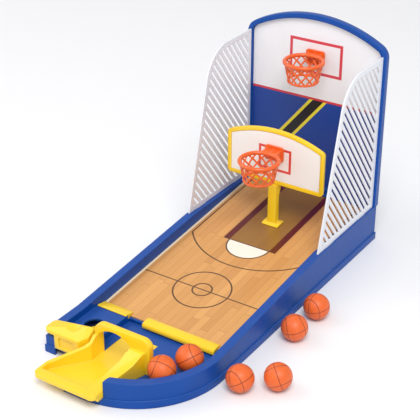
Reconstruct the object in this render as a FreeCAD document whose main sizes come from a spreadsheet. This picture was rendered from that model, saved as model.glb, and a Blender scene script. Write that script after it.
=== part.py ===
import FreeCAD, Part
import math
import os

import Sketcher

# Tabletop basketball game: a long moulded base with a sloping court, a press lever that flicks the ball, a ball
# return at the front, an arched back panel, two barred side fences and two hoops. Millimetres, +Z up,
# +X to the player's right, +Y to the back. The origin is on the table, under the middle of the court.

os.makedirs("parts", exist_ok=True)
doc = FreeCAD.newDocument("tabletop_basketball")
Vector = FreeCAD.Vector
Rotation = FreeCAD.Rotation

# millimetres. The launcher, tray and chute are placed by their distances from the base's left side and from its
# front line, the fences and tabs from the base's right side
dimensions = {
    # base: plan outline, wall and heights
    "base_width": 151,
    "base_rear": 163,
    "base_front": 206,
    "corner_right": 84,
    "corner_front": 35,
    "corner_step": 49.5,
    "wall": 2.2,
    "rail_width": 9,
    "rail_rear": 38,
    "rail_bend": 45,
    "rail_front": 23,
    "rail_low": 80,
    "tray_floor": 9,
    "tray_rear": 99,
    "plinth_height": 7,
    "plinth_step": 1,
    "rib_thick": 1.8,
    "rib_pitch": 62,
    "overrun": 2,
    # court: slope of the playing surface and its printed card
    "court_front": 113,
    "court_front_z": 15,
    "court_rise_share": 0.089,
    "court_rear": 151.4,
    "card_thick": 1.2,
    "card_gap": 0.25,
    # retaining bars across the court's front edge
    "bar_depth": 8,
    "bar_thick": 2.4,
    "bar_left_start": 9.5,
    "bar_left_end": 41.5,
    "bar_right_start": 58.5,
    "bar_right_end": 133.5,
    # launch deck, ball seat and lever
    "deck_top": 16,
    "deck_front": 52,
    "deck_right": 41.5,
    "seat_x": 25.5,
    "seat_y": 72,
    "seat_radius": 9.5,
    "well_left": 11,
    "well_right": 40.5,
    "well_rear": 86,
    "corner_rim": 16.6,
    "pivot_y": 54,
    "pivot_z": 9.2,
    "pin_radius": 1.5,
    "pin_gap": 0.06,
    "boss_radius": 3.4,
    "lever_left": 0.5,
    "lever_right": 44.5,
    "lever_rear": 50,
    "lever_front": 34.5,
    "lever_left_z": 25,
    "lever_right_z": 33,
    "lever_front_z": 24,
    "lever_wing": 3.8,
    "lever_bottom": 8,
    "lever_skin": 2.4,
    "lever_taper": 6.3,
    "lever_panel": 1.1,
    "arm_width": 9,
    "arm_thick": 2,
    "arm_bottom": 5.1,
    "kicker_radius": 5.5,
    "kicker_top": 10.6,
    "dimple_radius": 13,
    "dimple_depth": 1.5,
    # carrier under the deck
    "carrier_bottom": 2.9,
    "carrier_thick": 1.5,
    "carrier_left": 4,
    "carrier_right": 46.2,
    "carrier_front": 38.5,
    "carrier_rear": 90,
    "ear_thick": 2.2,
    "ear_width": 6.4,
    "screw_inset": 3,
    # spring
    "spring_y": 41.4,
    "spring_radius": 3.2,
    "wire_radius": 0.45,
    "spring_turns": 5,
    # ball return: hump and chute
    "chute_left": 47.5,
    "chute_right": 104.1,
    "channel_right": 99.5,
    "chute_rear": 54,
    "chute_front": -9,
    "chute_flare": 38,
    "chute_toe": 9,
    "chute_toe_right": 87.9,
    "chute_toe_left": 25,
    "chute_wall": 3,
    "chute_shelf": 13,
    "lip_width": 8.7,
    "lip_bottom": 10.5,
    "ramp_rear": 84,
    "chute_bottom": 7,
    "chute_seat": 6.8,
    "chute_floor": 8.8,
    "chute_skin": 2.4,
    "hump_front": 46,
    "hump_top": 42,
    "hump_shoulder": 8,
    "hump_round": 3.8,
    "cheek_rear": 30,
    "cheek_bend": 34,
    "cheek_bend_z": 23,
    "cheek_front": 15,
    "arch_x": 67.5,
    "arch_width": 34,
    "arch_shoulder": 30,
    "arch_top": 38,
    # back panel
    "frame_depth": 7,
    "frame_corner": 201,
    "frame_top": 223,
    "frame_rim": 5,
    "frame_back": 2.2,
    "frame_sill": 4,
    "frame_round": 14,
    "tab_width": 20,
    "tab_reach": 9,
    "tab_x": 33.5,
    "tab_thick": 3,
    "seat_gap": 0.25,
    # side fences
    "fence_thick": 1.6,
    "fence_x": 3.5,
    "fence_front": 44,
    "fence_shoulder_y": 76,
    "fence_shoulder_z": 165,
    "fence_crown_y": 108,
    "fence_crown_z": 196,
    "fence_round": 37,
    "fence_border": 5,
    "fence_bar": 3.5,
    "fence_pitch": 8,
    "fence_bar_angle": 52,
    "fence_tab": 14,
    "fence_tab_reach": 5,
    "fence_tab_front": 66,
    "fence_tab_rear": 132,
    # lower board and post
    "board_y": 85,
    "board_width": 106,
    "board_bottom": 74,
    "board_side": 119,
    "board_top": 131,
    "board_rim": 4,
    "board_thick": 3,
    "board_card": 0.9,
    "post_width": 9,
    "post_depth": 6,
    "post_top": 112,
    "foot_width": 18,
    "foot_depth": 13,
    "foot_thick": 2,
    "post_tab": 4,
    "post_plate": 3,
    # hoops
    "hoop_radius": 18.4,
    "hoop_wire": 2,
    "upper_reach": 24,
    "lower_reach": 29,
    "hoop_upper_z": 183,
    "hoop_lower_z": 110,
    "plate_width": 20,
    "plate_height": 15,
    "plate_thick": 2,
    "net_drop": 20,
    "net_bottom": 14.4,
    "net_skin": 1.4,
    "net_window": 2.7,
    "net_columns": 12,
    "hoop_peg": 2.3,
    "hoop_peg_pitch": 7.5,
    # balls, and how far each lies to the right of the chute or of the base, and behind the base's front line
    "ball_radius": 12,
    "ball_rest_gap": 0.05,
    "ball_1_across": 12.3,
    "ball_1_along": 45.7,
    "ball_2_across": 22.4,
    "ball_2_along": 71,
    "ball_3_across": 18.5,
    "ball_3_along": 81,
    "ball_4_across": 43.5,
    "ball_4_along": 100,
    "ball_5_across": 19.5,
    "ball_5_along": 169,
    "ball_6_across": 19.5,
    "ball_6_along": 209,
    # screws
    "screw_radius": 1.2,
    "screw_head": 2.6,
    "screw_head_thick": 1.3,
    "screw_length": 3.8,
}

sizes = doc.addObject("Spreadsheet::Sheet", "sizes")
for row, (alias, amount) in enumerate(dimensions.items(), start=1):
    sizes.set(f"A{row}", alias)
    sizes.set(f"B{row}", str(amount))
    sizes.setAlias(f"B{row}", alias)
doc.recompute()

nodes = {}

# those places as formulas, measured from the origin
bar_left_start = "(sizes.bar_left_start - sizes.base_width / 2)"
bar_left_end = "(sizes.bar_left_end - sizes.base_width / 2)"
bar_right_start = "(sizes.bar_right_start - sizes.base_width / 2)"
bar_right_end = "(sizes.bar_right_end - sizes.base_width / 2)"
corner_step = "(sizes.corner_step - sizes.base_width / 2)"
deck_right = "(sizes.deck_right - sizes.base_width / 2)"
seat_x = "(sizes.seat_x - sizes.base_width / 2)"
well_left = "(sizes.well_left - sizes.base_width / 2)"
well_right = "(sizes.well_right - sizes.base_width / 2)"
lever_left = "(sizes.lever_left - sizes.base_width / 2)"
lever_right = "(sizes.lever_right - sizes.base_width / 2)"
carrier_left = "(sizes.carrier_left - sizes.base_width / 2)"
carrier_right = "(sizes.carrier_right - sizes.base_width / 2)"
chute_left = "(sizes.chute_left - sizes.base_width / 2)"
chute_right = "(sizes.chute_right - sizes.base_width / 2)"
channel_right = "(sizes.channel_right - sizes.base_width / 2)"
chute_toe_right = "(sizes.chute_toe_right - sizes.base_width / 2)"
chute_toe_left = "(sizes.chute_toe_left - sizes.base_width / 2)"
arch_x = "(sizes.arch_x - sizes.base_width / 2)"
court_front = "(sizes.base_front - sizes.court_front)"
tray_rear = "(sizes.base_front - sizes.tray_rear)"
rail_low = "(sizes.base_front - sizes.rail_low)"
deck_front = "(sizes.base_front - sizes.deck_front)"
seat_y = "(sizes.base_front - sizes.seat_y)"
well_rear = "(sizes.base_front - sizes.well_rear)"
corner_front = "(sizes.base_front - sizes.corner_front)"
pivot_y = "(sizes.base_front - sizes.pivot_y)"
lever_rear = "(sizes.base_front - sizes.lever_rear)"
lever_front = "(sizes.base_front - sizes.lever_front)"
carrier_front = "(sizes.base_front - sizes.carrier_front)"
carrier_rear = "(sizes.base_front - sizes.carrier_rear)"
spring_y = "(sizes.base_front - sizes.spring_y)"
chute_rear = "(sizes.base_front - sizes.chute_rear)"
chute_front = "(sizes.base_front - sizes.chute_front)"
chute_flare = "(sizes.base_front - sizes.chute_flare)"
chute_toe = "(sizes.base_front - sizes.chute_toe)"
cheek_bend = "(sizes.base_front - sizes.cheek_bend)"
ramp_rear = "(sizes.base_front - sizes.ramp_rear)"
hump_front = "(sizes.base_front - sizes.hump_front)"
fence_x = "(sizes.base_width / 2 - sizes.fence_x)"
tab_x = "(sizes.base_width / 2 - sizes.tab_x)"


def number(formula):
    """The present value of a formula in the sheet's sizes."""
    return float(sizes.evalExpression(formula))


def court_z(y):
    """Formula for the height of the playing surface at a distance y behind the origin."""
    return f"(sizes.court_front_z + (({y}) + {court_front}) * sizes.court_rise_share)"


def floor_z(y):
    """Formula for the moulded deck under the court card."""
    return f"({court_z(y)} - sizes.card_thick - sizes.card_gap)"


def rail_z(y):
    """Formula for the sloping top of the side rails, in front of their bend."""
    run = f"(sizes.rail_bend + {rail_low})"
    return f"(sizes.rail_front + (({y}) + {rail_low}) * (sizes.rail_rear - sizes.rail_front) / {run})"


def new_body(name):
    body = doc.addObject("PartDesign::Body", name)
    body.Label = name
    nodes[name] = body
    return body


def plane_of(body, role):
    return next(item for item in body.Origin.OriginFeatures if item.Role == role)


def sketch_on(body, role, name, lift=None, turn=None):
    sketch = body.newObject("Sketcher::SketchObject", name)
    sketch.AttachmentSupport = [(plane_of(body, role), "")]
    sketch.MapMode = "FlatFace"
    if turn is not None:
        sketch.AttachmentOffset = FreeCAD.Placement(Vector(), Rotation(Vector(0, 1, 0), turn))
    if lift is not None:
        sketch.setExpression("AttachmentOffset.Base.z", lift)
    return sketch


def fix(sketch, kind, formula, *where):
    index = sketch.addConstraint(Sketcher.Constraint(kind, *where, number(formula)))
    sketch.setExpression(f"Constraints[{index}]", formula)


def outline(sketch, points):
    """Closed outline through (across, up) points. A third entry makes the side that leaves the point an arc of
    that radius, which bulges to the right of the way round, or to the left where a fourth entry is -1."""
    corners = [Vector(number(p[0]), number(p[1]), 0) for p in points]
    sides = []
    for place, point in enumerate(points):
        start = corners[place]
        end = corners[(place + 1) % len(corners)]
        if len(point) == 2:
            sides.append((sketch.addGeometry(Part.LineSegment(start, end), False), 1, 2))
            continue
        radius = number(point[2])
        chord = end - start
        outward = Vector(chord.y, -chord.x, 0).normalize() * (point[3] if len(point) > 3 else 1)
        rise = radius - math.sqrt(max(radius**2 - (chord.Length / 2) ** 2, 0))
        side = sketch.addGeometry(Part.Arc(start, (start + end) / 2 + outward * rise, end), False)
        forward = sketch.getPoint(side, 1).distanceToPoint(start) < sketch.getPoint(side, 2).distanceToPoint(start)
        sides.append((side, 1, 2) if forward else (side, 2, 1))
    for place, (side, first, last) in enumerate(sides):
        following, meets, _ = sides[(place + 1) % len(sides)]
        sketch.addConstraint(Sketcher.Constraint("Coincident", side, last, following, meets))
        fix(sketch, "DistanceX", points[place][0], -1, 1, side, first)
        fix(sketch, "DistanceY", points[place][1], -1, 1, side, first)
        if len(points[place]) > 2:
            fix(sketch, "Radius", points[place][2], side)


def box_outline(sketch, left, bottom, right, top):
    outline(sketch, [(left, bottom), (right, bottom), (right, top), (left, top)])


def ring(sketch, across, up, radius):
    side = sketch.addGeometry(Part.Circle(Vector(number(across), number(up), 0), Vector(0, 0, 1), number(radius)))
    fix(sketch, "DistanceX", across, -1, 1, side, 3)
    fix(sketch, "DistanceY", up, -1, 1, side, 3)
    fix(sketch, "Radius", radius, side)


cuts = []


def extrude(kind, sketch, length, both, flip):
    body = sketch.getParentGeoFeatureGroup()
    feature = body.newObject(f"PartDesign::{kind}", f"{sketch.Name}_{kind.lower()}")
    feature.Profile = sketch
    if length is None:
        feature.Type = "ThroughAll"
    else:
        feature.setExpression("Length", length)
    feature.SideType = "Symmetric" if both else "One side"
    feature.Reversed = flip
    if kind == "Pocket":
        cuts.append(feature)
    doc.recompute()
    return feature


def pad(sketch, length, both=False, flip=False):
    return extrude("Pad", sketch, length, both, flip)


def pocket(sketch, length=None, both=False, flip=False):
    return extrude("Pocket", sketch, length, both, flip)


def mirrored(body, features, role="YZ_Plane"):
    feature = body.newObject("PartDesign::Mirrored", f"{features[0].Name}_mirror")
    feature.Originals = features
    feature.MirrorPlane = (plane_of(body, role), [""])
    body.Tip = feature
    doc.recompute()
    return feature


def rounded(feature, radius, wanted, kind="Fillet"):
    """Fillet or chamfer the edges whose bounding box the function wanted picks."""
    body = feature.getParentGeoFeatureGroup()
    names = [f"Edge{n}" for n, edge in enumerate(feature.Shape.Edges, start=1) if wanted(edge.BoundBox)]
    if not names:
        raise ValueError(f"no edge to round on {feature.Name}")
    made = body.newObject(f"PartDesign::{kind}", f"{feature.Name}_{kind.lower()}")
    made.Base = (feature, names)
    made.setExpression("Radius" if kind == "Fillet" else "Size", radius)
    doc.recompute()
    return made


def upright(box):
    """True for an edge that stands straight up."""
    return box.XLength < 1e-6 and box.YLength < 1e-6


# the base outline and lines that several pieces share
half = "sizes.base_width / 2"
arch_left = f"({arch_x} - sizes.arch_width / 2)"
arch_right = f"({arch_x} + sizes.arch_width / 2)"
inner_half = "(sizes.base_width / 2 - sizes.rail_width)"
tray_right_x = "(sizes.base_width / 2 - sizes.corner_right)"
bend_right_y = "(-sizes.base_front + sizes.corner_right)"


carrier_screws = [
    (f"{carrier_left} + sizes.screw_inset", f"-{carrier_rear} - sizes.screw_inset"),
    (f"{carrier_right} - sizes.screw_inset", f"-{carrier_rear} - sizes.screw_inset"),
    (f"{carrier_left} + sizes.screw_inset", f"-{deck_front} + sizes.screw_inset"),
    (f"{carrier_right} - sizes.screw_inset", f"-{carrier_front} + sizes.screw_inset"),
]
shelf_middle = f"({channel_right} + {arch_right} + 2 * {chute_toe_right} - sizes.chute_shelf) / 4"
chute_screws = [
    (f"{chute_right} - sizes.hump_round - sizes.chute_skin", f"-({chute_rear} + {hump_front}) / 2"),
    (shelf_middle, f"-({hump_front} + {chute_toe}) / 2"),
]


def plan(sketch, inset, rear):
    """The base's plan outline, drawn in by inset all round, from the rear line given."""
    side = f"(sizes.base_width / 2 - {inset})"
    front = f"(-sizes.base_front + {inset})"
    outline(
        sketch,
        [
            (f"-{side}", rear),
            (f"-{side}", f"-{corner_front} + {inset}"),
            (f"{corner_step} + {inset}", f"-{corner_front} + {inset}"),
            (f"{corner_step} + {inset}", front),
            (tray_right_x, front, f"sizes.corner_right - {inset}"),
            (side, bend_right_y),
            (side, rear),
        ],
    )


def make_base_shell():
    body = new_body("base_shell")
    shape = sketch_on(body, "XY_Plane", "base_plan")
    plan(shape, "0 * sizes.wall", "sizes.base_rear")
    pad(shape, "sizes.rail_rear")

    slope = sketch_on(body, "YZ_Plane", "rail_slope")
    above = "sizes.rail_rear + sizes.overrun"
    beyond = "-sizes.base_front - sizes.overrun"
    outline(
        slope,
        [
            ("sizes.rail_bend", "sizes.rail_rear"),
            ("sizes.rail_bend", above),
            (beyond, above),
            (beyond, "sizes.rail_front"),
            (f"-{rail_low}", "sizes.rail_front"),
        ],
    )
    pocket(slope, both=True)

    recess = sketch_on(body, "YZ_Plane", "court_recess")
    outline(
        recess,
        [
            (f"-{tray_rear}", floor_z(f"-{tray_rear}")),
            ("sizes.court_rear", floor_z("sizes.court_rear")),
            ("sizes.court_rear", above),
            (f"-{tray_rear}", above),
        ],
    )
    pocket(recess, f"2 * {inner_half}", both=True)

    tray = sketch_on(body, "XY_Plane", "ball_tray", "sizes.tray_floor")
    front = "(-sizes.base_front + sizes.rail_width)"
    outline(
        tray,
        [
            (deck_right, f"-{tray_rear} + sizes.overrun"),
            (deck_right, f"-{deck_front}"),
            (f"{well_right} - sizes.overrun", f"-{deck_front}"),
            (f"{well_right} - sizes.overrun", f"-{corner_front} - sizes.overrun"),
            (f"{corner_step} + sizes.wall", f"-{corner_front} - sizes.overrun"),
            (f"{corner_step} + sizes.wall", front),
            (tray_right_x, front, "sizes.corner_right - sizes.rail_width"),
            (inner_half, bend_right_y),
            (inner_half, f"-{tray_rear} + sizes.overrun"),
        ],
    )
    pocket(tray, flip=True)

    deck = sketch_on(body, "XY_Plane", "launch_deck", "sizes.deck_top")
    rear = f"-{tray_rear} + sizes.overrun"
    box_outline(deck, f"-{inner_half}", f"-{deck_front} - sizes.overrun", f"{deck_right} + sizes.overrun", rear)
    pocket(deck, flip=True)

    notch = sketch_on(body, "XY_Plane", "launcher_notch", "sizes.chute_seat")
    outline(
        notch,
        [
            (f"{chute_left} - sizes.seat_gap", f"-{chute_rear} + sizes.seat_gap"),
            (f"{chute_left} - sizes.seat_gap", f"-{chute_flare} + sizes.seat_gap"),
            (f"{chute_toe_left} - sizes.seat_gap", f"-{chute_toe} + sizes.seat_gap"),
            (f"{chute_toe_left} - sizes.seat_gap", f"-{chute_front}"),
            (f"{chute_toe_right} + sizes.seat_gap", f"-{chute_front}"),
            (f"{chute_toe_right} + sizes.seat_gap", f"-{chute_toe}"),
            (f"{channel_right} + sizes.seat_gap", f"-{hump_front} - sizes.seat_gap"),
            (f"{chute_right} + sizes.seat_gap", f"-{hump_front} - sizes.seat_gap"),
            (f"{chute_right} + sizes.seat_gap", f"-{chute_rear} + sizes.seat_gap"),
            (f"{arch_right} + sizes.seat_gap", f"-{chute_rear} + sizes.seat_gap"),
            (f"{arch_right} + sizes.seat_gap", f"-{ramp_rear} + sizes.seat_gap"),
            (f"{arch_left} - sizes.seat_gap", f"-{ramp_rear} + sizes.seat_gap"),
            (f"{arch_left} - sizes.seat_gap", f"-{chute_rear} + sizes.seat_gap"),
        ],
    )
    pocket(notch, flip=True)

    corner = sketch_on(body, "XY_Plane", "corner_rim", "sizes.corner_rim")
    box_outline(
        corner,
        f"-{half} - sizes.overrun",
        beyond,
        f"{well_left} + sizes.overrun",
        f"-{deck_front}",
    )
    pocket(corner, flip=True)

    hollow = sketch_on(body, "XY_Plane", "front_hollow")
    plan(hollow, "sizes.wall", f"-{tray_rear} + sizes.wall")
    pocket(hollow, "sizes.chute_seat - sizes.wall", flip=True)

    court_hollow = sketch_on(body, "YZ_Plane", "court_hollow")
    rear = "sizes.base_rear - sizes.wall"
    start = f"(-{tray_rear} + sizes.wall)"
    outline(
        court_hollow,
        [
            (start, "0 * sizes.wall"),
            (rear, "0 * sizes.wall"),
            (rear, f"{floor_z(rear)} - sizes.wall"),
            (start, f"{floor_z(start)} - sizes.wall"),
        ],
    )
    pocket(court_hollow, "sizes.base_width - 2 * sizes.wall", both=True)

    rail = sketch_on(body, "YZ_Plane", "rail_hollow", f"{half} - sizes.wall")
    outline(
        rail,
        [
            (start, "0 * sizes.wall"),
            (rear, "0 * sizes.wall"),
            (rear, "sizes.rail_rear - sizes.wall"),
            ("sizes.rail_bend", "sizes.rail_rear - sizes.wall"),
            (start, f"{rail_z(start)} - sizes.wall"),
        ],
    )
    rail_cut = pocket(rail, "sizes.rail_width - 2 * sizes.wall")
    mirrored(body, [rail_cut])

    rim = sketch_on(body, "XY_Plane", "rim_hollow")
    outer = "(sizes.corner_right - sizes.wall)"
    inner = "(sizes.corner_right - sizes.rail_width + sizes.wall)"
    stop = f"({channel_right} + 2 * sizes.wall)"
    across = f"({stop} - {tray_right_x})"
    outline(
        rim,
        [
            (f"{half} - sizes.wall", f"-{tray_rear} + 2 * sizes.wall"),
            (f"{half} - sizes.rail_width + sizes.wall", f"-{tray_rear} + 2 * sizes.wall"),
            (f"{half} - sizes.rail_width + sizes.wall", bend_right_y, inner, -1),
            (stop, f"{bend_right_y} - sqrt({inner} ^ 2 - {across} ^ 2)"),
            (stop, f"{bend_right_y} - sqrt({outer} ^ 2 - {across} ^ 2)", outer),
            (f"{half} - sizes.wall", bend_right_y),
        ],
    )
    pocket(rim, "sizes.rail_front - sizes.wall", flip=True)

    well = sketch_on(body, "XY_Plane", "lever_well")
    box_outline(
        well,
        well_left,
        f"-{corner_front} - sizes.overrun",
        well_right,
        f"-{deck_front}",
    )
    pocket(well, flip=True)
    under_deck = sketch_on(body, "XY_Plane", "lever_tunnel")
    box_outline(
        under_deck,
        well_left,
        f"-{deck_front} - sizes.overrun",
        well_right,
        f"-{well_rear}",
    )
    pocket(under_deck, "sizes.deck_top - sizes.wall", flip=True)
    seat = sketch_on(body, "XY_Plane", "ball_seat")
    ring(seat, seat_x, f"-{seat_y}", "sizes.seat_radius")
    pocket(seat, flip=True)

    slots = sketch_on(body, "XY_Plane", "fence_slots", "sizes.rail_rear")
    for place in ("sizes.fence_tab_front", "sizes.fence_tab_rear"):
        box_outline(
            slots,
            f"{fence_x} - sizes.fence_thick / 2 - sizes.seat_gap",
            f"{place} - sizes.fence_tab / 2 - sizes.seat_gap",
            f"{fence_x} + sizes.fence_thick / 2 + sizes.seat_gap",
            f"{place} + sizes.fence_tab / 2 + sizes.seat_gap",
        )
    box_outline(
        slots,
        f"{tab_x} - sizes.tab_width / 2 - sizes.seat_gap",
        "sizes.base_rear - sizes.wall - sizes.tab_thick - 2 * sizes.seat_gap",
        f"{tab_x} + sizes.tab_width / 2 + sizes.seat_gap",
        "sizes.base_rear - sizes.wall",
    )
    slot_cut = pocket(slots, "sizes.tab_reach + sizes.seat_gap")
    mirrored(body, [slot_cut])

    screws = sketch_on(body, "XY_Plane", "screw_holes")
    for across, along in carrier_screws + chute_screws:
        ring(screws, across, along, "sizes.screw_radius")
    pocket(screws, "sizes.chute_seat", flip=True)

    post_slot = sketch_on(body, "XY_Plane", "post_slot")
    box_outline(
        post_slot,
        "-sizes.post_width / 2 - sizes.seat_gap",
        "sizes.board_y - sizes.post_depth / 2 - sizes.seat_gap",
        "sizes.post_width / 2 + sizes.seat_gap",
        "sizes.board_y + sizes.post_depth / 2 + sizes.seat_gap",
    )
    pocket(post_slot, flip=True)

    ribs = sketch_on(body, "YZ_Plane", "cross_ribs")
    for place in ("-sizes.rib_pitch", "0 * sizes.rib_pitch", "2 * sizes.rib_pitch"):
        outline(
            ribs,
            [
                (f"{place} - sizes.rib_thick / 2", "0 * sizes.wall"),
                (f"{place} + sizes.rib_thick / 2", "0 * sizes.wall"),
                (f"{place} + sizes.rib_thick / 2", f"{floor_z(place)} - sizes.wall / 2"),
                (f"{place} - sizes.rib_thick / 2", f"{floor_z(place)} - sizes.wall / 2"),
            ],
        )
    pad(ribs, "sizes.base_width - sizes.wall", both=True)

    step = sketch_on(body, "XY_Plane", "plinth_step", "sizes.plinth_height")
    plan(step, "(-sizes.overrun)", "sizes.base_rear + sizes.overrun")
    plan(step, "sizes.plinth_step", "sizes.base_rear - sizes.plinth_step")
    pocket(step, flip=True)
    return body


def make_court_card():
    body = new_body("court_card")
    side = sketch_on(body, "YZ_Plane", "card_side")
    front = f"(-{tray_rear} + sizes.bar_depth / 2)"
    rear = "(sizes.court_rear - sizes.seat_gap)"
    lift = "sizes.card_gap / 2"
    outline(
        side,
        [
            (front, f"{floor_z(front)} + {lift}"),
            (rear, f"{floor_z(rear)} + {lift}"),
            (rear, f"{floor_z(rear)} + {lift} + sizes.card_thick"),
            (front, f"{floor_z(front)} + {lift} + sizes.card_thick"),
        ],
    )
    pad(side, f"2 * ({inner_half} - sizes.card_gap)", both=True)
    hole = sketch_on(body, "XY_Plane", "post_hole")
    box_outline(
        hole,
        "-sizes.post_width / 2 - sizes.seat_gap",
        "sizes.board_y - sizes.post_depth / 2 - sizes.seat_gap",
        "sizes.post_width / 2 + sizes.seat_gap",
        "sizes.board_y + sizes.post_depth / 2 + sizes.seat_gap",
    )
    pocket(hole, flip=True)
    return body


def make_court_bar(name, start, end, front):
    """A strip that laps over the card's front edge; its front hangs over the tray's step or lies on the deck."""
    body = new_body(name)
    side = sketch_on(body, "YZ_Plane", f"{name}_side", start)
    lap = f"(-{tray_rear} + sizes.bar_depth)"
    edge = f"(-{tray_rear} + sizes.bar_depth / 2 - sizes.card_gap)"
    outline(
        side,
        [
            (edge, f"{floor_z(edge)} + sizes.card_gap / 4"),
            (edge, f"{court_z(edge)} + sizes.card_gap"),
            (lap, f"{court_z(lap)} + sizes.card_gap"),
            (lap, f"{court_z(lap)} + sizes.card_gap + sizes.bar_thick / 2"),
            (edge, f"{court_z(edge)} + sizes.bar_thick"),
        ]
        + front,
    )
    pad(side, f"({end}) - ({start})")
    return body


def make_return_chute():
    body = new_body("return_chute")
    shape = sketch_on(body, "XY_Plane", "chute_plan", "sizes.chute_bottom")
    outline(
        shape,
        [
            (chute_left, f"-{hump_front} + sizes.overrun"),
            (chute_left, f"-{chute_flare}"),
            (chute_toe_left, f"-{chute_toe}"),
            (chute_toe_left, f"-{chute_front}"),
            (chute_toe_right, f"-{chute_front}"),
            (chute_toe_right, f"-{chute_toe}"),
            (channel_right, f"-{hump_front}"),
            (channel_right, f"-{hump_front} + sizes.overrun"),
        ],
    )
    pad(shape, "sizes.cheek_rear - sizes.chute_bottom")
    side = sketch_on(body, "YZ_Plane", "chute_side")
    above = "sizes.cheek_rear + sizes.overrun"
    beyond = f"-{chute_front} - sizes.overrun"
    outline(
        side,
        [
            (f"-{hump_front} - sizes.chute_skin", above),
            (beyond, above),
            (beyond, "sizes.cheek_front"),
            (f"-{chute_toe}", "sizes.cheek_front"),
            (f"-{cheek_bend}", "sizes.cheek_bend_z"),
            (f"-{hump_front} - sizes.chute_skin", "sizes.cheek_rear"),
        ],
    )
    profile = pocket(side, both=True)
    rounded(
        profile,
        "sizes.chute_skin * 2",
        lambda box: upright(box) and box.YMax < -number(chute_front) + 1e-6,
    )
    toe = f"(-{chute_front} + sizes.lip_width)"
    below = sketch_on(body, "YZ_Plane", "lip_underside")
    box_outline(below, beyond, "sizes.chute_bottom - sizes.overrun", f"{toe} - sizes.chute_skin", "sizes.lip_bottom")
    pocket(below, both=True)
    middle = f"({chute_rear} + {hump_front}) / 2"
    hump = sketch_on(body, "XZ_Plane", "chute_hump", middle)
    outline(
        hump,
        [
            (chute_left, "sizes.chute_bottom"),
            (chute_right, "sizes.chute_bottom"),
            (chute_right, "sizes.hump_top - sizes.hump_shoulder", "sizes.hump_shoulder"),
            (f"{chute_right} - sizes.hump_shoulder", "sizes.hump_top"),
            (f"{chute_left} + sizes.hump_shoulder", "sizes.hump_top", "sizes.hump_shoulder"),
            (chute_left, "sizes.hump_top - sizes.hump_shoulder"),
        ],
    )
    block = pad(hump, f"{hump_front} - {chute_rear}", both=True)
    rounded(
        block,
        "sizes.hump_round",
        lambda box: box.YLength < 1e-6
        and box.ZMax > number("sizes.hump_top - sizes.hump_shoulder") - 1e-6
        and box.YMin > -number(chute_rear) - 1e-6,
    )
    ramp = sketch_on(body, "XY_Plane", "chute_ramp", "sizes.chute_bottom")
    box_outline(ramp, arch_left, f"-{hump_front}", arch_right, f"-{ramp_rear}")
    pad(ramp, "sizes.chute_floor - sizes.chute_bottom")
    channel = sketch_on(body, "XY_Plane", "chute_channel", "sizes.chute_floor")
    outline(
        channel,
        [
            (arch_left, f"-{hump_front}"),
            (arch_left, f"-{chute_flare} - sizes.chute_wall / 3"),
            (f"{chute_toe_left} + sizes.chute_wall", f"-{chute_toe} - sizes.chute_wall / 3"),
            (f"{chute_toe_left} + sizes.chute_wall", toe),
            (f"{chute_toe_right} - sizes.chute_shelf", toe),
            (arch_right, f"-{hump_front}"),
        ],
    )
    pocket(channel, flip=True)
    tunnel = sketch_on(body, "XZ_Plane", "chute_tunnel", middle)
    rise = "(sizes.arch_top - sizes.arch_shoulder)"
    outline(
        tunnel,
        [
            (arch_left, "sizes.chute_floor"),
            (arch_right, "sizes.chute_floor"),
            (arch_right, "sizes.arch_shoulder", f"((sizes.arch_width / 2) ^ 2 + {rise} ^ 2) / (2 * {rise})"),
            (arch_left, "sizes.arch_shoulder"),
        ],
    )
    pocket(tunnel, f"{hump_front} - {chute_rear} + 4 * sizes.wall", both=True)
    holes = sketch_on(body, "XY_Plane", "chute_screw_holes", "sizes.chute_bottom - sizes.overrun")
    for across, along in chute_screws:
        ring(holes, across, along, "sizes.screw_radius")
    pocket(holes, "sizes.overrun + sizes.screw_length", flip=True)
    return body


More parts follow.
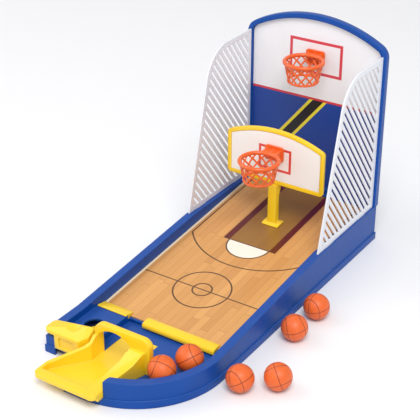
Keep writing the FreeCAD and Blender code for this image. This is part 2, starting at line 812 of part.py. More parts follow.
def make_launch_lever():
    body = new_body("launch_lever")
    hinge = f"-{pivot_y}"
    left = f"({well_left} + sizes.lever_skin / 4)"
    right = f"({well_right} - sizes.lever_skin / 4)"
    wing = "(sizes.lever_left_z - sizes.lever_wing)"
    shelf = "(sizes.tray_floor + 2 * sizes.lever_skin)"
    key = sketch_on(body, "XZ_Plane", "key_front", lever_rear)
    outline(
        key,
        [
            (left, "sizes.lever_bottom"),
            (right, "sizes.lever_bottom"),
            (right, shelf),
            (lever_right, shelf),
            (lever_right, "sizes.lever_right_z"),
            (lever_left, "sizes.lever_left_z"),
            (lever_left, wing),
            (left, wing),
        ],
    )
    block = pad(key, f"{lever_front} - {lever_rear}")
    rounded(
        block,
        "sizes.lever_skin * 2",
        lambda box: upright(box) and box.XMax < number(lever_left) + 1e-6,
    )
    slope = sketch_on(body, "YZ_Plane", "key_slope")
    beyond = f"-{lever_front} - sizes.overrun"
    above = "sizes.lever_right_z + sizes.overrun"
    outline(
        slope,
        [
            (f"-{lever_rear} + sizes.overrun", above),
            (beyond, above),
            (beyond, "sizes.lever_front_z"),
            (f"-{lever_front}", "sizes.lever_front_z"),
            (f"-{lever_rear}", "sizes.lever_right_z"),
            (f"-{lever_rear} + sizes.overrun", "sizes.lever_right_z"),
        ],
    )
    pocket(slope, both=True)
    taper = sketch_on(body, "XY_Plane", "key_taper")
    beside = f"{lever_right} + sizes.overrun"
    outline(
        taper,
        [
            (beside, f"-{lever_front} + sizes.lever_taper"),
            (lever_right, f"-{lever_front} + sizes.lever_taper"),
            (f"{lever_right} - sizes.lever_taper", f"-{lever_front}"),
            (f"{lever_right} - sizes.lever_taper", beyond),
            (beside, beyond),
        ],
    )
    trimmed = pocket(taper, flip=True)
    rounded(
        trimmed,
        "sizes.lever_skin / 2",
        lambda box: box.ZMin > number("sizes.lever_front_z") - 1e-6 and not upright(box) and box.XLength > 1,
    )
    inside = sketch_on(body, "YZ_Plane", "key_inside", f"{left} + sizes.lever_skin")
    low = "sizes.lever_bottom - sizes.overrun"
    outline(
        inside,
        [
            (f"-{lever_rear} - sizes.lever_skin", low),
            (f"-{lever_rear} - sizes.lever_skin", "sizes.lever_front_z - sizes.lever_skin / 4"),
            (f"-{lever_front} + sizes.lever_skin", "sizes.lever_front_z - sizes.lever_skin * 0.75"),
            (f"-{lever_front} + sizes.lever_skin", low),
        ],
    )
    pocket(inside, f"{right} - {left} - 2 * sizes.lever_skin", flip=True)
    panel = sketch_on(body, "XZ_Plane", "key_panel", f"{lever_front} - sizes.lever_panel")
    box_outline(
        panel,
        f"{left} + 2 * sizes.lever_skin",
        "sizes.lever_bottom + sizes.lever_skin",
        f"{right} - 3 * sizes.lever_skin",
        "sizes.lever_front_z - 1.5 * sizes.lever_skin",
    )
    pocket(panel, flip=True)
    arm = sketch_on(body, "YZ_Plane", "arm_side", f"{seat_x} - sizes.arm_width / 2")
    arm_top = "(sizes.arm_bottom + sizes.arm_thick)"
    outline(
        arm,
        [
            (f"-{lever_rear} - sizes.lever_skin", "sizes.lever_bottom + sizes.lever_skin"),
            (f"-{lever_rear} - sizes.lever_skin", "sizes.lever_bottom"),
            (hinge, "sizes.pivot_z - sizes.boss_radius"),
            (f"-{seat_y} - sizes.kicker_radius", "sizes.arm_bottom"),
            (f"-{seat_y} + sizes.kicker_radius", "sizes.arm_bottom"),
            (f"-{seat_y} + sizes.kicker_radius", arm_top),
            (f"-{seat_y} - sizes.kicker_radius", arm_top),
            (hinge, "sizes.pivot_z + sizes.boss_radius"),
        ],
    )
    pad(arm, "sizes.arm_width")
    kicker = sketch_on(body, "XY_Plane", "kicker", "sizes.arm_bottom")
    ring(kicker, seat_x, f"-{seat_y}", "sizes.kicker_radius")
    pad(kicker, "sizes.kicker_top - sizes.arm_bottom")
    barrel = sketch_on(body, "YZ_Plane", "pivot_barrel", f"{well_left} + 2 * sizes.ear_thick")
    ring(barrel, hinge, "sizes.pivot_z", "sizes.boss_radius")
    span = f"({well_right} - {well_left} - 4 * sizes.ear_thick)"
    pad(barrel, span)
    bore = sketch_on(body, "YZ_Plane", "pivot_bore")
    ring(bore, hinge, "sizes.pivot_z", "sizes.pin_radius + sizes.pin_gap")
    pocket(bore, both=True)
    peg = sketch_on(body, "XY_Plane", "spring_peg", "sizes.lever_front_z - 2 * sizes.lever_skin")
    ring(peg, seat_x, f"-{spring_y}", "sizes.spring_radius - 3 * sizes.wire_radius")
    pad(peg, "sizes.lever_skin * 1.5")
    dimple = body.newObject("PartDesign::SubtractiveSphere", "finger_dimple")
    dimple.setExpression("Radius", "sizes.dimple_radius")
    dimple.setExpression("Placement.Base.x", seat_x)
    dimple.setExpression("Placement.Base.y", f"-({lever_rear} + {lever_front}) / 2")
    middle_z = "(sizes.lever_right_z + sizes.lever_front_z) / 2"
    dimple.setExpression("Placement.Base.z", f"{middle_z} + sizes.dimple_radius - sizes.dimple_depth")
    cuts.append(dimple)
    body.Tip = dimple
    doc.recompute()
    return body


def make_lever_carrier():
    body = new_body("lever_carrier")
    plate = sketch_on(body, "XY_Plane", "carrier_plate", "sizes.carrier_bottom")
    box_outline(
        plate,
        carrier_left,
        f"-{deck_front}",
        carrier_right,
        f"-{carrier_rear}",
    )
    pad(plate, "sizes.carrier_thick")
    tongue = sketch_on(body, "XY_Plane", "carrier_tongue", "sizes.carrier_bottom")
    box_outline(
        tongue,
        f"{well_left} + sizes.seat_gap",
        f"-{carrier_front}",
        carrier_right,
        f"-{deck_front} + sizes.overrun",
    )
    pad(tongue, "sizes.carrier_thick")
    top = "(sizes.carrier_bottom + sizes.carrier_thick)"
    for name, place in (
        ("ear_left", f"{well_left} + sizes.ear_thick / 2"),
        ("ear_right", f"{well_right} - 1.5 * sizes.ear_thick"),
    ):
        ear = sketch_on(body, "YZ_Plane", name, place)
        outline(
            ear,
            [
                (f"-{pivot_y} - sizes.ear_width / 2", f"{top} - sizes.carrier_thick / 2"),
                (f"-{pivot_y} + sizes.ear_width / 2", f"{top} - sizes.carrier_thick / 2"),
                (f"-{pivot_y} + sizes.ear_width / 2", "sizes.pivot_z", "sizes.ear_width / 2 * 1.02"),
                (f"-{pivot_y} - sizes.ear_width / 2", "sizes.pivot_z"),
            ],
        )
        pad(ear, "sizes.ear_thick")
    holes = sketch_on(body, "YZ_Plane", "ear_holes")
    ring(holes, f"-{pivot_y}", "sizes.pivot_z", "sizes.pin_radius")
    pocket(holes, both=True)
    cup = sketch_on(body, "XY_Plane", "spring_cup", top)
    ring(cup, seat_x, f"-{spring_y}", "sizes.spring_radius - 3 * sizes.wire_radius")
    pad(cup, "sizes.carrier_thick")
    bump = sketch_on(body, "XY_Plane", "rest_bump", f"{top} - sizes.carrier_thick / 2")
    ring(bump, seat_x, f"-{seat_y}", "sizes.pin_radius")
    pad(bump, f"sizes.arm_bottom - sizes.seat_gap - {top} + sizes.carrier_thick / 2")
    screws = sketch_on(body, "XY_Plane", "carrier_screw_holes", "sizes.carrier_bottom")
    for across, along in carrier_screws:
        ring(screws, across, along, "sizes.screw_radius")
    pocket(screws, flip=True)
    return body


def make_lever_pin():
    pin = doc.addObject("Part::Cylinder", "lever_pin")
    pin.Label = "lever_pin"
    pin.setExpression("Radius", "sizes.pin_radius")
    pin.setExpression("Height", f"{well_right} - {well_left} - sizes.ear_thick")
    pin.Placement.Rotation = Rotation(Vector(0, 1, 0), 90)
    pin.setExpression("Placement.Base.x", f"{well_left} + sizes.ear_thick / 2")
    pin.setExpression("Placement.Base.y", f"-{pivot_y}")
    pin.setExpression("Placement.Base.z", "sizes.pivot_z")
    nodes["lever_pin"] = pin


def biarc(start, start_way, end, end_way):
    """Two arcs that join two points and leave and reach them along the ways given."""
    span = end - start
    ways = start_way + end_way
    bend = 2 * (1 - start_way.dot(end_way))
    along = span.dot(ways)
    reach = (-along + math.sqrt(along**2 + bend * span.dot(span))) / bend
    joint = (start + end + (start_way - end_way) * reach) / 2
    edges = []
    for first, last, corner in (
        (start, joint, start + start_way * reach),
        (joint, end, end - end_way * reach),
    ):
        weight = (last - first).Length / 2 / (corner - first).Length
        middle = (first + corner * (2 * weight) + last) / (2 * (1 + weight))
        edges.append(Part.Arc(first, middle, last).toShape())
    return edges


def make_lever_spring():
    """One unbroken wire: straight tail, close end turn, open turns, close end turn, straight tail."""
    wire = number("sizes.wire_radius")
    radius = number("sizes.spring_radius")
    turns = int(round(number("sizes.spring_turns")))
    bottom = number("sizes.carrier_bottom + sizes.carrier_thick + sizes.seat_gap") + wire
    top = number("sizes.lever_front_z - sizes.lever_skin * 0.75 - sizes.seat_gap") - wire
    rise = (top - bottom) / turns
    share = 3
    points = []
    for step in range(share * turns + 1):
        angle = step * 2 * math.pi / share
        height = bottom + rise * step / share
        points.append(
            (
                Vector(radius * math.cos(angle), radius * math.sin(angle), height),
                Vector(-radius * math.sin(angle), radius * math.cos(angle), rise / (2 * math.pi)).normalize(),
            )
        )
    edges = []
    for (start, start_way), (end, end_way) in zip(points, points[1:]):
        edges += biarc(start, start_way, end, end_way)
    first, first_way = points[0]
    last, last_way = points[-1]
    tail = 2 * wire
    begin = first - first_way * tail
    edges.insert(0, Part.LineSegment(begin, first).toShape())
    edges.append(Part.LineSegment(last, last + last_way * tail).toShape())
    path = Part.Wire(edges)
    section = Part.Wire(Part.makeCircle(wire, begin, first_way))
    coil = Part.BRepOffsetAPI.MakePipeShell(path)
    coil.add(section)
    coil.build()
    coil.makeSolid()
    spring = doc.addObject("Part::Feature", "lever_spring")
    spring.Label = "lever_spring"
    spring.Shape = coil.shape()
    middle = Vector(number(seat_x), -number(spring_y), 0)
    spring.Placement = FreeCAD.Placement(middle, Rotation(Vector(0, 0, 1), -90))
    nodes["lever_spring"] = spring
    least = min(
        (a - b).Length
        for i, (a, _) in enumerate(points)
        for b, _ in points[i + share :]
    )
    print(f"lever_spring: least gap to itself {least - 2 * wire:.2f} mm")


def arched(sketch, inset, bottom, width, corner, top):
    """An upright outline with an arched top, drawn in by inset."""
    side = f"(({width}) / 2 - {inset})"
    rise = f"(({top}) - ({corner}))"
    radius = f"((({width}) / 2) ^ 2 + {rise} ^ 2) / (2 * {rise}) - {inset}"
    centre = f"(({top}) - ((({width}) / 2) ^ 2 + {rise} ^ 2) / (2 * {rise}))"
    shoulder = f"({centre} + sqrt(({radius}) ^ 2 - {side} ^ 2))"
    outline(
        sketch,
        [
            (f"-{side}", bottom),
            (side, bottom),
            (side, shoulder, radius),
            (f"-{side}", shoulder),
        ],
    )


frame_size = ("sizes.base_width", "sizes.frame_corner", "sizes.frame_top")
board_size = ("sizes.board_width", "sizes.board_side", "sizes.board_top")
hoop_pegs = ("0 * sizes.wall", "(-sizes.hoop_peg_pitch)")


def peg_holes(body, name, ring_z, radius, front):
    """Holes for the two pegs of a hoop, from the plane at front to the back."""
    holes = sketch_on(body, "XZ_Plane", name, f"-{front}")
    for drop in hoop_pegs:
        ring(holes, "0 * sizes.wall", f"{ring_z} + {drop}", radius)
    return pocket(holes)


def make_back_frame():
    body = new_body("back_frame")
    front = "-(sizes.base_rear - sizes.frame_depth)"
    foot = "sizes.rail_rear + sizes.seat_gap"
    plate = sketch_on(body, "XZ_Plane", "frame_outline", front)
    arched(plate, "0 * sizes.wall", foot, *frame_size)
    slab = pad(plate, "sizes.frame_depth", flip=True)
    rounded(
        slab,
        "sizes.frame_round",
        lambda box: box.XLength < 1e-6 and box.ZLength < 1e-6 and box.ZMin > number("sizes.frame_corner") - 1,
    )
    recess = sketch_on(body, "XZ_Plane", "frame_recess", front)
    arched(recess, "sizes.frame_rim", f"{foot} + sizes.frame_sill", *frame_size)
    dish = pocket(recess, "sizes.frame_depth - sizes.frame_back")
    rounded(
        dish,
        "sizes.frame_round - sizes.frame_rim",
        lambda box: box.XLength < 1e-6
        and box.ZLength < 1e-6
        and box.ZMin > number("sizes.frame_corner - 3 * sizes.frame_rim")
        and abs(box.XMin) < number("sizes.base_width / 2") - 1,
    )
    tabs = sketch_on(body, "XZ_Plane", "frame_tabs", "-(sizes.base_rear - sizes.wall - sizes.seat_gap)")
    box_outline(
        tabs,
        f"{tab_x} - sizes.tab_width / 2",
        "sizes.rail_rear - sizes.tab_reach",
        f"{tab_x} + sizes.tab_width / 2",
        "sizes.rail_rear + sizes.frame_sill",
    )
    tab = pad(tabs, "sizes.tab_thick")
    mirrored(body, [tab])
    peg_holes(body, "frame_holes", "sizes.hoop_upper_z", "sizes.screw_radius + sizes.pin_gap", "sizes.board_y")
    return body


def make_back_card():
    body = new_body("back_card")
    plate = sketch_on(body, "XZ_Plane", "card_outline", "-(sizes.base_rear - sizes.frame_back - sizes.card_gap)")
    sill = "sizes.rail_rear + sizes.seat_gap + sizes.frame_sill + sizes.card_gap"
    arched(plate, "(sizes.frame_rim + sizes.card_gap)", sill, *frame_size)
    slab = pad(plate, "sizes.card_thick")
    rounded(
        slab,
        "sizes.frame_round - sizes.frame_rim",
        lambda box: box.XLength < 1e-6 and box.ZLength < 1e-6 and box.ZMin > number("sizes.frame_corner") - 10,
    )
    peg_holes(body, "card_holes", "sizes.hoop_upper_z", "sizes.hoop_peg + sizes.pin_gap", "sizes.board_y")
    return body


def fence_shape(sketch, inset):
    """Side fence outline in the y-z plane, drawn in by inset."""
    lean = "((sizes.fence_shoulder_y - sizes.fence_front) / (sizes.fence_shoulder_z - sizes.rail_rear))"
    slant = f"({inset} * sqrt(1 + {lean} ^ 2))"
    foot = f"(sizes.rail_rear + sizes.seat_gap + {inset})"
    rear = f"(sizes.base_rear - sizes.frame_depth - sizes.seat_gap - {inset})"
    crown = f"(sizes.fence_crown_z - {inset})"
    outline(
        sketch,
        [
            (f"sizes.fence_front + {slant} + {lean} * {inset}", foot),
            (rear, foot),
            (rear, crown),
            ("sizes.fence_crown_y", crown, f"sizes.fence_round - {inset}"),
            (f"sizes.fence_shoulder_y + {slant}", "sizes.fence_shoulder_z"),
        ],
    )


def make_side_fence(name, side):
    """A moulded fence: border frame with slanted bars, and two tabs that plug into the rail."""
    place = f"{side} * {fence_x} - sizes.fence_thick / 2"
    body = doc.addObject("PartDesign::Body", f"{name}_frame")
    border = sketch_on(body, "YZ_Plane", f"{name}_border", place)
    fence_shape(border, "0 * sizes.wall")
    pad(border, "sizes.fence_thick")
    window = sketch_on(body, "YZ_Plane", f"{name}_window", place)
    fence_shape(window, "sizes.fence_border")
    pocket(window, "sizes.fence_thick", flip=True)
    tabs = sketch_on(body, "YZ_Plane", f"{name}_tabs", place)
    for along in ("sizes.fence_tab_front", "sizes.fence_tab_rear"):
        box_outline(
            tabs,
            f"{along} - sizes.fence_tab / 2",
            "sizes.rail_rear - sizes.fence_tab_reach",
            f"{along} + sizes.fence_tab / 2",
            "sizes.rail_rear + sizes.fence_border / 2",
        )
    pad(tabs, "sizes.fence_thick")

    core = doc.addObject("PartDesign::Body", f"{name}_core")
    inside = sketch_on(core, "YZ_Plane", f"{name}_inside", place)
    fence_shape(inside, "(sizes.fence_border / 2)")
    pad(inside, "sizes.fence_thick")

    thick = number("sizes.fence_thick")
    width = number("sizes.fence_bar")
    step = number("sizes.fence_pitch / sin(sizes.fence_bar_angle)")
    low = Vector(number(place) + thick / 6, number("sizes.fence_front"), number("sizes.rail_rear"))
    tall = number("sizes.fence_crown_z - sizes.rail_rear")
    deep = number("sizes.base_rear - sizes.fence_front")
    length = 2 * (tall + deep)
    bars = []
    for count in range(int(2 * (tall + deep) / step)):
        bar = Part.makeBox(thick * 2 / 3, length, width)
        bar.translate(Vector(0, -length / 2, -width / 2))
        bar.rotate(Vector(), Vector(1, 0, 0), -number("sizes.fence_bar_angle"))
        bar.translate(low + Vector(0, 0, count * step))
        bars.append(bar)
    grid = doc.addObject("Part::Feature", f"{name}_grid")
    grid.Shape = Part.makeCompound(bars)
    doc.recompute()
    inner = doc.addObject("Part::Common", f"{name}_bars")
    inner.Base = core
    inner.Tool = grid
    fence = doc.addObject("Part::Fuse", name)
    fence.Base = body
    fence.Tool = inner
    fence.Refine = True
    fence.Label = name
    nodes[name] = fence


def make_hoop_post():
    body = new_body("hoop_post")
    side = sketch_on(body, "YZ_Plane", "post_side")
    front = "(sizes.board_y - sizes.post_depth / 2)"
    rear = "(sizes.board_y + sizes.post_depth / 2)"
    behind = "(sizes.board_y + sizes.board_thick + sizes.seat_gap)"
    foot = f"({court_z('sizes.board_y')} + sizes.card_gap)"
    outline(
        side,
        [
            (front, f"{foot} - sizes.card_thick - sizes.wall - sizes.post_tab"),
            (rear, f"{foot} - sizes.card_thick - sizes.wall - sizes.post_tab"),
            (rear, "sizes.board_bottom - 2 * sizes.post_depth"),
            (f"{behind} + sizes.post_plate", "sizes.board_bottom - sizes.post_depth"),
            (f"{behind} + sizes.post_plate", "sizes.post_top"),
            (behind, "sizes.post_top"),
            (behind, "sizes.board_bottom - sizes.seat_gap"),
            (front, "sizes.board_bottom - sizes.seat_gap"),
        ],
    )
    pad(side, "sizes.post_width", both=True)
    collar = sketch_on(body, "YZ_Plane", "post_foot")
    near = "(sizes.board_y - sizes.foot_depth / 2)"
    far = "(sizes.board_y + sizes.foot_depth / 2)"
    outline(
        collar,
        [
            (near, f"{court_z(near)} + sizes.card_gap"),
            (far, f"{court_z(far)} + sizes.card_gap"),
            (far, f"{court_z(far)} + sizes.foot_thick / 2"),
            (rear, f"{court_z(rear)} + sizes.foot_thick"),
            (front, f"{court_z(front)} + sizes.foot_thick"),
            (near, f"{court_z(near)} + sizes.foot_thick / 2"),
        ],
    )
    pad(collar, "sizes.foot_width", both=True)
    peg_holes(body, "post_holes", "sizes.hoop_lower_z", "sizes.screw_radius + sizes.pin_gap", "sizes.post_depth")
    return body


def make_lower_board_frame():
    body = new_body("lower_board_frame")
    plate = sketch_on(body, "XZ_Plane", "board_outline", "-sizes.board_y")
    arched(plate, "0 * sizes.wall", "sizes.board_bottom", *board_size)
    slab = pad(plate, "sizes.board_thick", flip=True)
    rounded(
        slab,
        "sizes.board_rim",
        lambda box: box.XLength < 1e-6 and box.ZLength < 1e-6,
    )
    recess = sketch_on(body, "XZ_Plane", "board_recess", "-sizes.board_y")
    arched(recess, "sizes.board_rim", "sizes.board_bottom + sizes.board_rim", *board_size)
    pocket(recess, "sizes.board_card + 2 * sizes.card_gap")
    peg_holes(body, "board_holes", "sizes.hoop_lower_z", "sizes.hoop_peg + sizes.pin_gap", "sizes.post_depth")
    return body


def make_lower_board():
    body = new_body("lower_board")
    plate = sketch_on(body, "XZ_Plane", "panel_outline", "-(sizes.board_y + sizes.board_card + sizes.card_gap)")
    inset = "(sizes.board_rim + sizes.card_gap)"
    arched(plate, inset, "sizes.board_bottom + sizes.board_rim + sizes.card_gap", *board_size)
    pad(plate, "sizes.board_card")
    peg_holes(body, "panel_holes", "sizes.hoop_lower_z", "sizes.hoop_peg + sizes.pin_gap", "sizes.post_depth")
    return body


def make_hoop(name, face_y, ring_z, reach, peg):
    """Ring, net with diamond windows, arm, plate and pegs, round a centre at the distance reach before the face."""
    body = new_body(name)
    profile = sketch_on(body, "XZ_Plane", f"{name}_ring")
    ring(profile, "sizes.hoop_radius", "0 * sizes.wall", "sizes.hoop_wire")
    hoop = body.newObject("PartDesign::Revolution", f"{name}_turned")
    hoop.Profile = profile
    hoop.ReferenceAxis = (profile, ["V_Axis"])
    hoop.Angle = 360
    doc.recompute()
    wall = sketch_on(body, "XZ_Plane", f"{name}_net")
    outline(
        wall,
        [
            ("sizes.hoop_radius - sizes.net_skin / 2", "0 * sizes.wall"),
            ("sizes.net_bottom - sizes.net_skin / 2", "-sizes.net_drop"),
            ("sizes.net_bottom + sizes.net_skin / 2", "-sizes.net_drop"),
            ("sizes.hoop_radius + sizes.net_skin / 2", "0 * sizes.wall"),
        ],
    )
    net = body.newObject("PartDesign::Revolution", f"{name}_skirt")
    net.Profile = wall
    net.ReferenceAxis = (wall, ["V_Axis"])
    net.Angle = 360
    doc.recompute()
    plate = sketch_on(body, "XZ_Plane", f"{name}_plate", f"-{reach}")
    box_outline(
        plate,
        "-sizes.plate_width / 2",
        "-sizes.plate_height * 0.7",
        "sizes.plate_width / 2",
        "sizes.plate_height * 0.3",
    )
    slab = pad(plate, "sizes.plate_thick")
    rounded(
        slab,
        "sizes.plate_thick",
        lambda box: box.YMin > number(f"{reach} - sizes.plate_thick") - 1e-6
        and box.XLength < 1e-6
        and box.ZLength < 1e-6,
    )
    arm = sketch_on(body, "YZ_Plane", f"{name}_arm")
    outline(
        arm,
        [
            ("sizes.hoop_radius", "sizes.hoop_wire / 2"),
            ("sizes.hoop_radius", "-sizes.hoop_wire"),
            (f"{reach} - sizes.plate_thick / 2", "-sizes.plate_height / 2"),
            (f"{reach} - sizes.plate_thick / 2", "sizes.hoop_wire"),
        ],
    )
    pad(arm, "sizes.plate_width / 2", both=True)
    pegs = sketch_on(body, "XZ_Plane", f"{name}_pegs", f"-{reach} + sizes.plate_thick / 2")
    bores = sketch_on(body, "XZ_Plane", f"{name}_bores", f"-{reach} - {peg}")
    for drop in hoop_pegs:
        ring(pegs, "0 * sizes.wall", drop, "sizes.hoop_peg")
        ring(bores, "0 * sizes.wall", drop, "sizes.screw_radius")
    pad(pegs, f"{peg} + sizes.plate_thick / 2", flip=True)
    pocket(bores, f"{peg} + 2 * sizes.plate_thick", flip=True)
    for row, turn in ((1, 0), (2, 180 / number("sizes.net_columns")), (3, 0)):
        drop = f"(-sizes.net_drop * {row} / 4 - sizes.hoop_wire / 2)"
        window = sketch_on(body, "XZ_Plane", f"{name}_window_{row}", turn=turn)
        outline(
            window,
            [
                ("0 * sizes.wall", f"{drop} - sizes.net_window"),
                (f"sizes.net_window * (1.06 - 0.08 * {row})", drop),
                ("0 * sizes.wall", f"{drop} + sizes.net_window"),
                (f"-sizes.net_window * (1.06 - 0.08 * {row})", drop),
            ],
        )
        cut = pocket(window, "sizes.hoop_radius + sizes.hoop_wire")
        pattern = body.newObject("PartDesign::PolarPattern", f"{name}_windows_{row}")
        pattern.Originals = [cut]
        pattern.Axis = (window, ["V_Axis"])
        pattern.Angle = 360
        pattern.setExpression("Occurrences", "sizes.net_columns")
        body.Tip = pattern
        doc.recompute()
    body.setExpression("Placement.Base.y", f"{face_y} - sizes.seat_gap / 2 - {reach}")
    body.setExpression("Placement.Base.z", ring_z)
    return body


def make_ball(name, beside, ground):
    """A loose ball at its own distance to the right of beside and behind the base's front line."""
    ball = doc.addObject("Part::Sphere", name)
    ball.Label = name
    ball.setExpression("Radius", "sizes.ball_radius")
    ball.setExpression("Placement.Base.x", f"{beside} + sizes.{name}_across")
    ball.setExpression("Placement.Base.y", f"-sizes.base_front + sizes.{name}_along")
    ball.setExpression("Placement.Base.z", f"{ground} + sizes.ball_radius + sizes.ball_rest_gap")
    nodes[name] = ball


def make_screws(name, places, way, length="sizes.screw_length"):
    """Round-headed screws driven along a way, with the underside of each head at the place given."""
    solids = []
    for place in places:
        head = number("sizes.screw_head")
        thick = number("sizes.screw_head_thick")
        seat = Vector(*[number(part) for part in place])
        dome = Part.makeCone(head * 0.7, head, thick / 2, seat - way * thick, way)
        rim = Part.makeCylinder(head, thick / 2, seat - way * (thick / 2), way)
        shank = Part.makeCylinder(number("sizes.screw_radius"), number(length), seat, way)
        solids.append(dome.fuse(rim).fuse(shank).removeSplitter())
    group = doc.addObject("Part::Feature", name)
    group.Label = name
    group.Shape = Part.makeCompound(solids)
    nodes[name] = group


make_base_shell()
make_court_card()
lip = f"(-{tray_rear} - sizes.seat_gap)"
over_step = [
    (f"{lip} - sizes.bar_thick / 2", f"{court_z(lip)} + sizes.bar_thick * 0.8"),
    (f"{lip} - sizes.bar_thick", court_z(lip)),
    (f"{lip} - sizes.bar_thick", f"{floor_z(lip)} - sizes.bar_thick / 2"),
    (lip, f"{floor_z(lip)} - sizes.bar_thick / 2"),
    (lip, f"{floor_z(lip)} + sizes.card_gap / 4"),
]
heel = f"(-{tray_rear} + sizes.seat_gap)"
on_deck = [
    (f"{lip} - sizes.bar_thick / 2", "sizes.deck_top + sizes.bar_thick * 0.7"),
    (f"{lip} - sizes.bar_thick", "sizes.deck_top + sizes.bar_thick * 0.4"),
    (f"{lip} - sizes.bar_thick", "sizes.deck_top + sizes.card_gap / 2"),
    (heel, "sizes.deck_top + sizes.card_gap / 2"),
    (heel, f"{floor_z(heel)} + sizes.card_gap / 4"),
]
make_court_bar("court_bar_left", bar_left_start, bar_left_end, on_deck)
make_court_bar("court_bar_right", bar_right_start, bar_right_end, over_step)
make_return_chute()
make_launch_lever()
make_lever_carrier()
make_lever_pin()
make_lever_spring()
make_back_frame()
make_back_card()
make_side_fence("side_fence_left", -1)
make_side_fence("side_fence_right", 1)
make_hoop_post()
make_lower_board_frame()
make_lower_board()
make_hoop(
    "lower_hoop",
    "(sizes.board_y + sizes.card_gap)",
    "sizes.hoop_lower_z",
    "sizes.lower_reach",
    "(sizes.board_thick - sizes.card_gap)",
)
make_hoop(
    "upper_hoop",
    "(sizes.base_rear - sizes.frame_back - sizes.card_thick - sizes.card_gap)",
    "sizes.hoop_upper_z",
    "sizes.upper_reach",
    "(sizes.card_thick + sizes.card_gap)",
)
for ball_name in ("ball_1", "ball_2"):
    make_ball(ball_name, chute_right, "sizes.tray_floor")
for ball_name in ("ball_3", "ball_4", "ball_5", "ball_6"):
    make_ball(ball_name, half, "0 * sizes.wall")
up = Vector(0, 0, 1)
make_screws("carrier_screws", [(*place, "sizes.carrier_bottom") for place in carrier_screws], up)
make_screws("chute_screws", [(*place, "sizes.chute_seat - sizes.wall") for place in chute_screws], up)
forward = Vector(0, -1, 0)
post_back = "(sizes.board_y + sizes.board_thick + sizes.seat_gap + sizes.post_plate)"
make_screws(
    "board_screws",
    [("0 * sizes.wall", post_back, f"sizes.hoop_lower_z + {drop}") for drop in hoop_pegs],
    forward,
    "sizes.post_plate + sizes.seat_gap + sizes.board_thick",
)
make_screws(
    "hoop_screws",
    [("0 * sizes.wall", "sizes.base_rear", f"sizes.hoop_upper_z + {drop}") for drop in hoop_pegs],
    forward,
)

doc.recompute()
faults = []
for item in doc.Objects:
    if "Invalid" in item.State or "Error" in item.State:
        faults.append(f"{item.Name}: {item.State}")
for cut in cuts:
    if cut.Shape.isNull() or cut.Shape.Volume >= cut.BaseFeature.Shape.Volume - 1e-3:
        faults.append(f"{cut.Name} cuts nothing")
for name, item in nodes.items():
    if item.Shape.isNull() or not item.Shape.isValid():
        faults.append(f"{name} has no valid shape")
if faults:
    raise SystemExit("\n".join(faults))
for name, item in nodes.items():
    item.Shape.exportStep(f"parts/{name}.step")
    print(name, len(item.Shape.Solids), round(item.Shape.Volume / 1000, 2), "cm3")
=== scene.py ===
import math

import bmesh
import bpy
from mathutils import Matrix, Vector


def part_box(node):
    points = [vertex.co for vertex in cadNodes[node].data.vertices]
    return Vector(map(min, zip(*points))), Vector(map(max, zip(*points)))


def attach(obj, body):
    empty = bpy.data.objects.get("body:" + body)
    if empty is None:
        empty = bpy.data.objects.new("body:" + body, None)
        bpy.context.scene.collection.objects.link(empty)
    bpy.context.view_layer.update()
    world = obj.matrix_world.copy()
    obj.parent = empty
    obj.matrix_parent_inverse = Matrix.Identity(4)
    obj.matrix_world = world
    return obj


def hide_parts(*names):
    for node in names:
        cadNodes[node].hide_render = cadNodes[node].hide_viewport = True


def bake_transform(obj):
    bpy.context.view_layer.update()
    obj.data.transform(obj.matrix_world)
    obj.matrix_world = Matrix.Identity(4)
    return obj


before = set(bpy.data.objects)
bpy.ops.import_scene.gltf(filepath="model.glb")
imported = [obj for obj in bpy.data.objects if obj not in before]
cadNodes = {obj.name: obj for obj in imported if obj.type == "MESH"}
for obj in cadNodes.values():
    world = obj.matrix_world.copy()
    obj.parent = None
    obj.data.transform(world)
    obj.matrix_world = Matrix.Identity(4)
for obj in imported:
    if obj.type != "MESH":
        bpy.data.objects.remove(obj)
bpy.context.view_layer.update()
mm = 0.001
mergeDistance = 1e-6
print("packed model loaded:", len(cadNodes), "pieces")


def rgb(red, green, blue):
    # Colour as seen on a screen, 0 to 255, turned into the linear one that Blender keeps.
    seen = [channel / 255 for channel in (red, green, blue)]
    return (*[c / 12.92 if c <= 0.04045 else ((c + 0.055) / 1.055) ** 2.4 for c in seen], 1.0)


# node helpers, for materials and Geometry Nodes alike

def feed(tree, socket, value):
    if isinstance(value, bpy.types.NodeSocket):
        tree.links.new(value, socket)
    else:
        socket.default_value = value


def addNode(tree, kind, sockets=None, **settings):
    node = tree.nodes.new(kind)
    for setting, value in settings.items():
        setattr(node, setting, value)
    for socket, value in (sockets or {}).items():
        feed(tree, node.inputs[socket], value)
    return node


def calc(tree, operation, *values):
    node = addNode(tree, "ShaderNodeMath", operation=operation)
    for socket, value in zip(node.inputs, values):
        feed(tree, socket, value)
    return node.outputs[0]


def clamped(tree, value):
    return calc(tree, "MINIMUM", calc(tree, "MAXIMUM", value, 0.0), 1.0)


def blendColour(tree, mask, under, over):
    # The Mix node keeps its colours in the seventh and eighth sockets.
    return addNode(tree, "ShaderNodeMix", {0: mask, 6: under, 7: over}, data_type="RGBA").outputs[2]


def noise(tree, where, **values):
    return addNode(tree, "ShaderNodeTexNoise", {"Vector": where, **values}).outputs[0]


def objectPoint(tree):
    return addNode(tree, "ShaderNodeTexCoord").outputs["Object"]


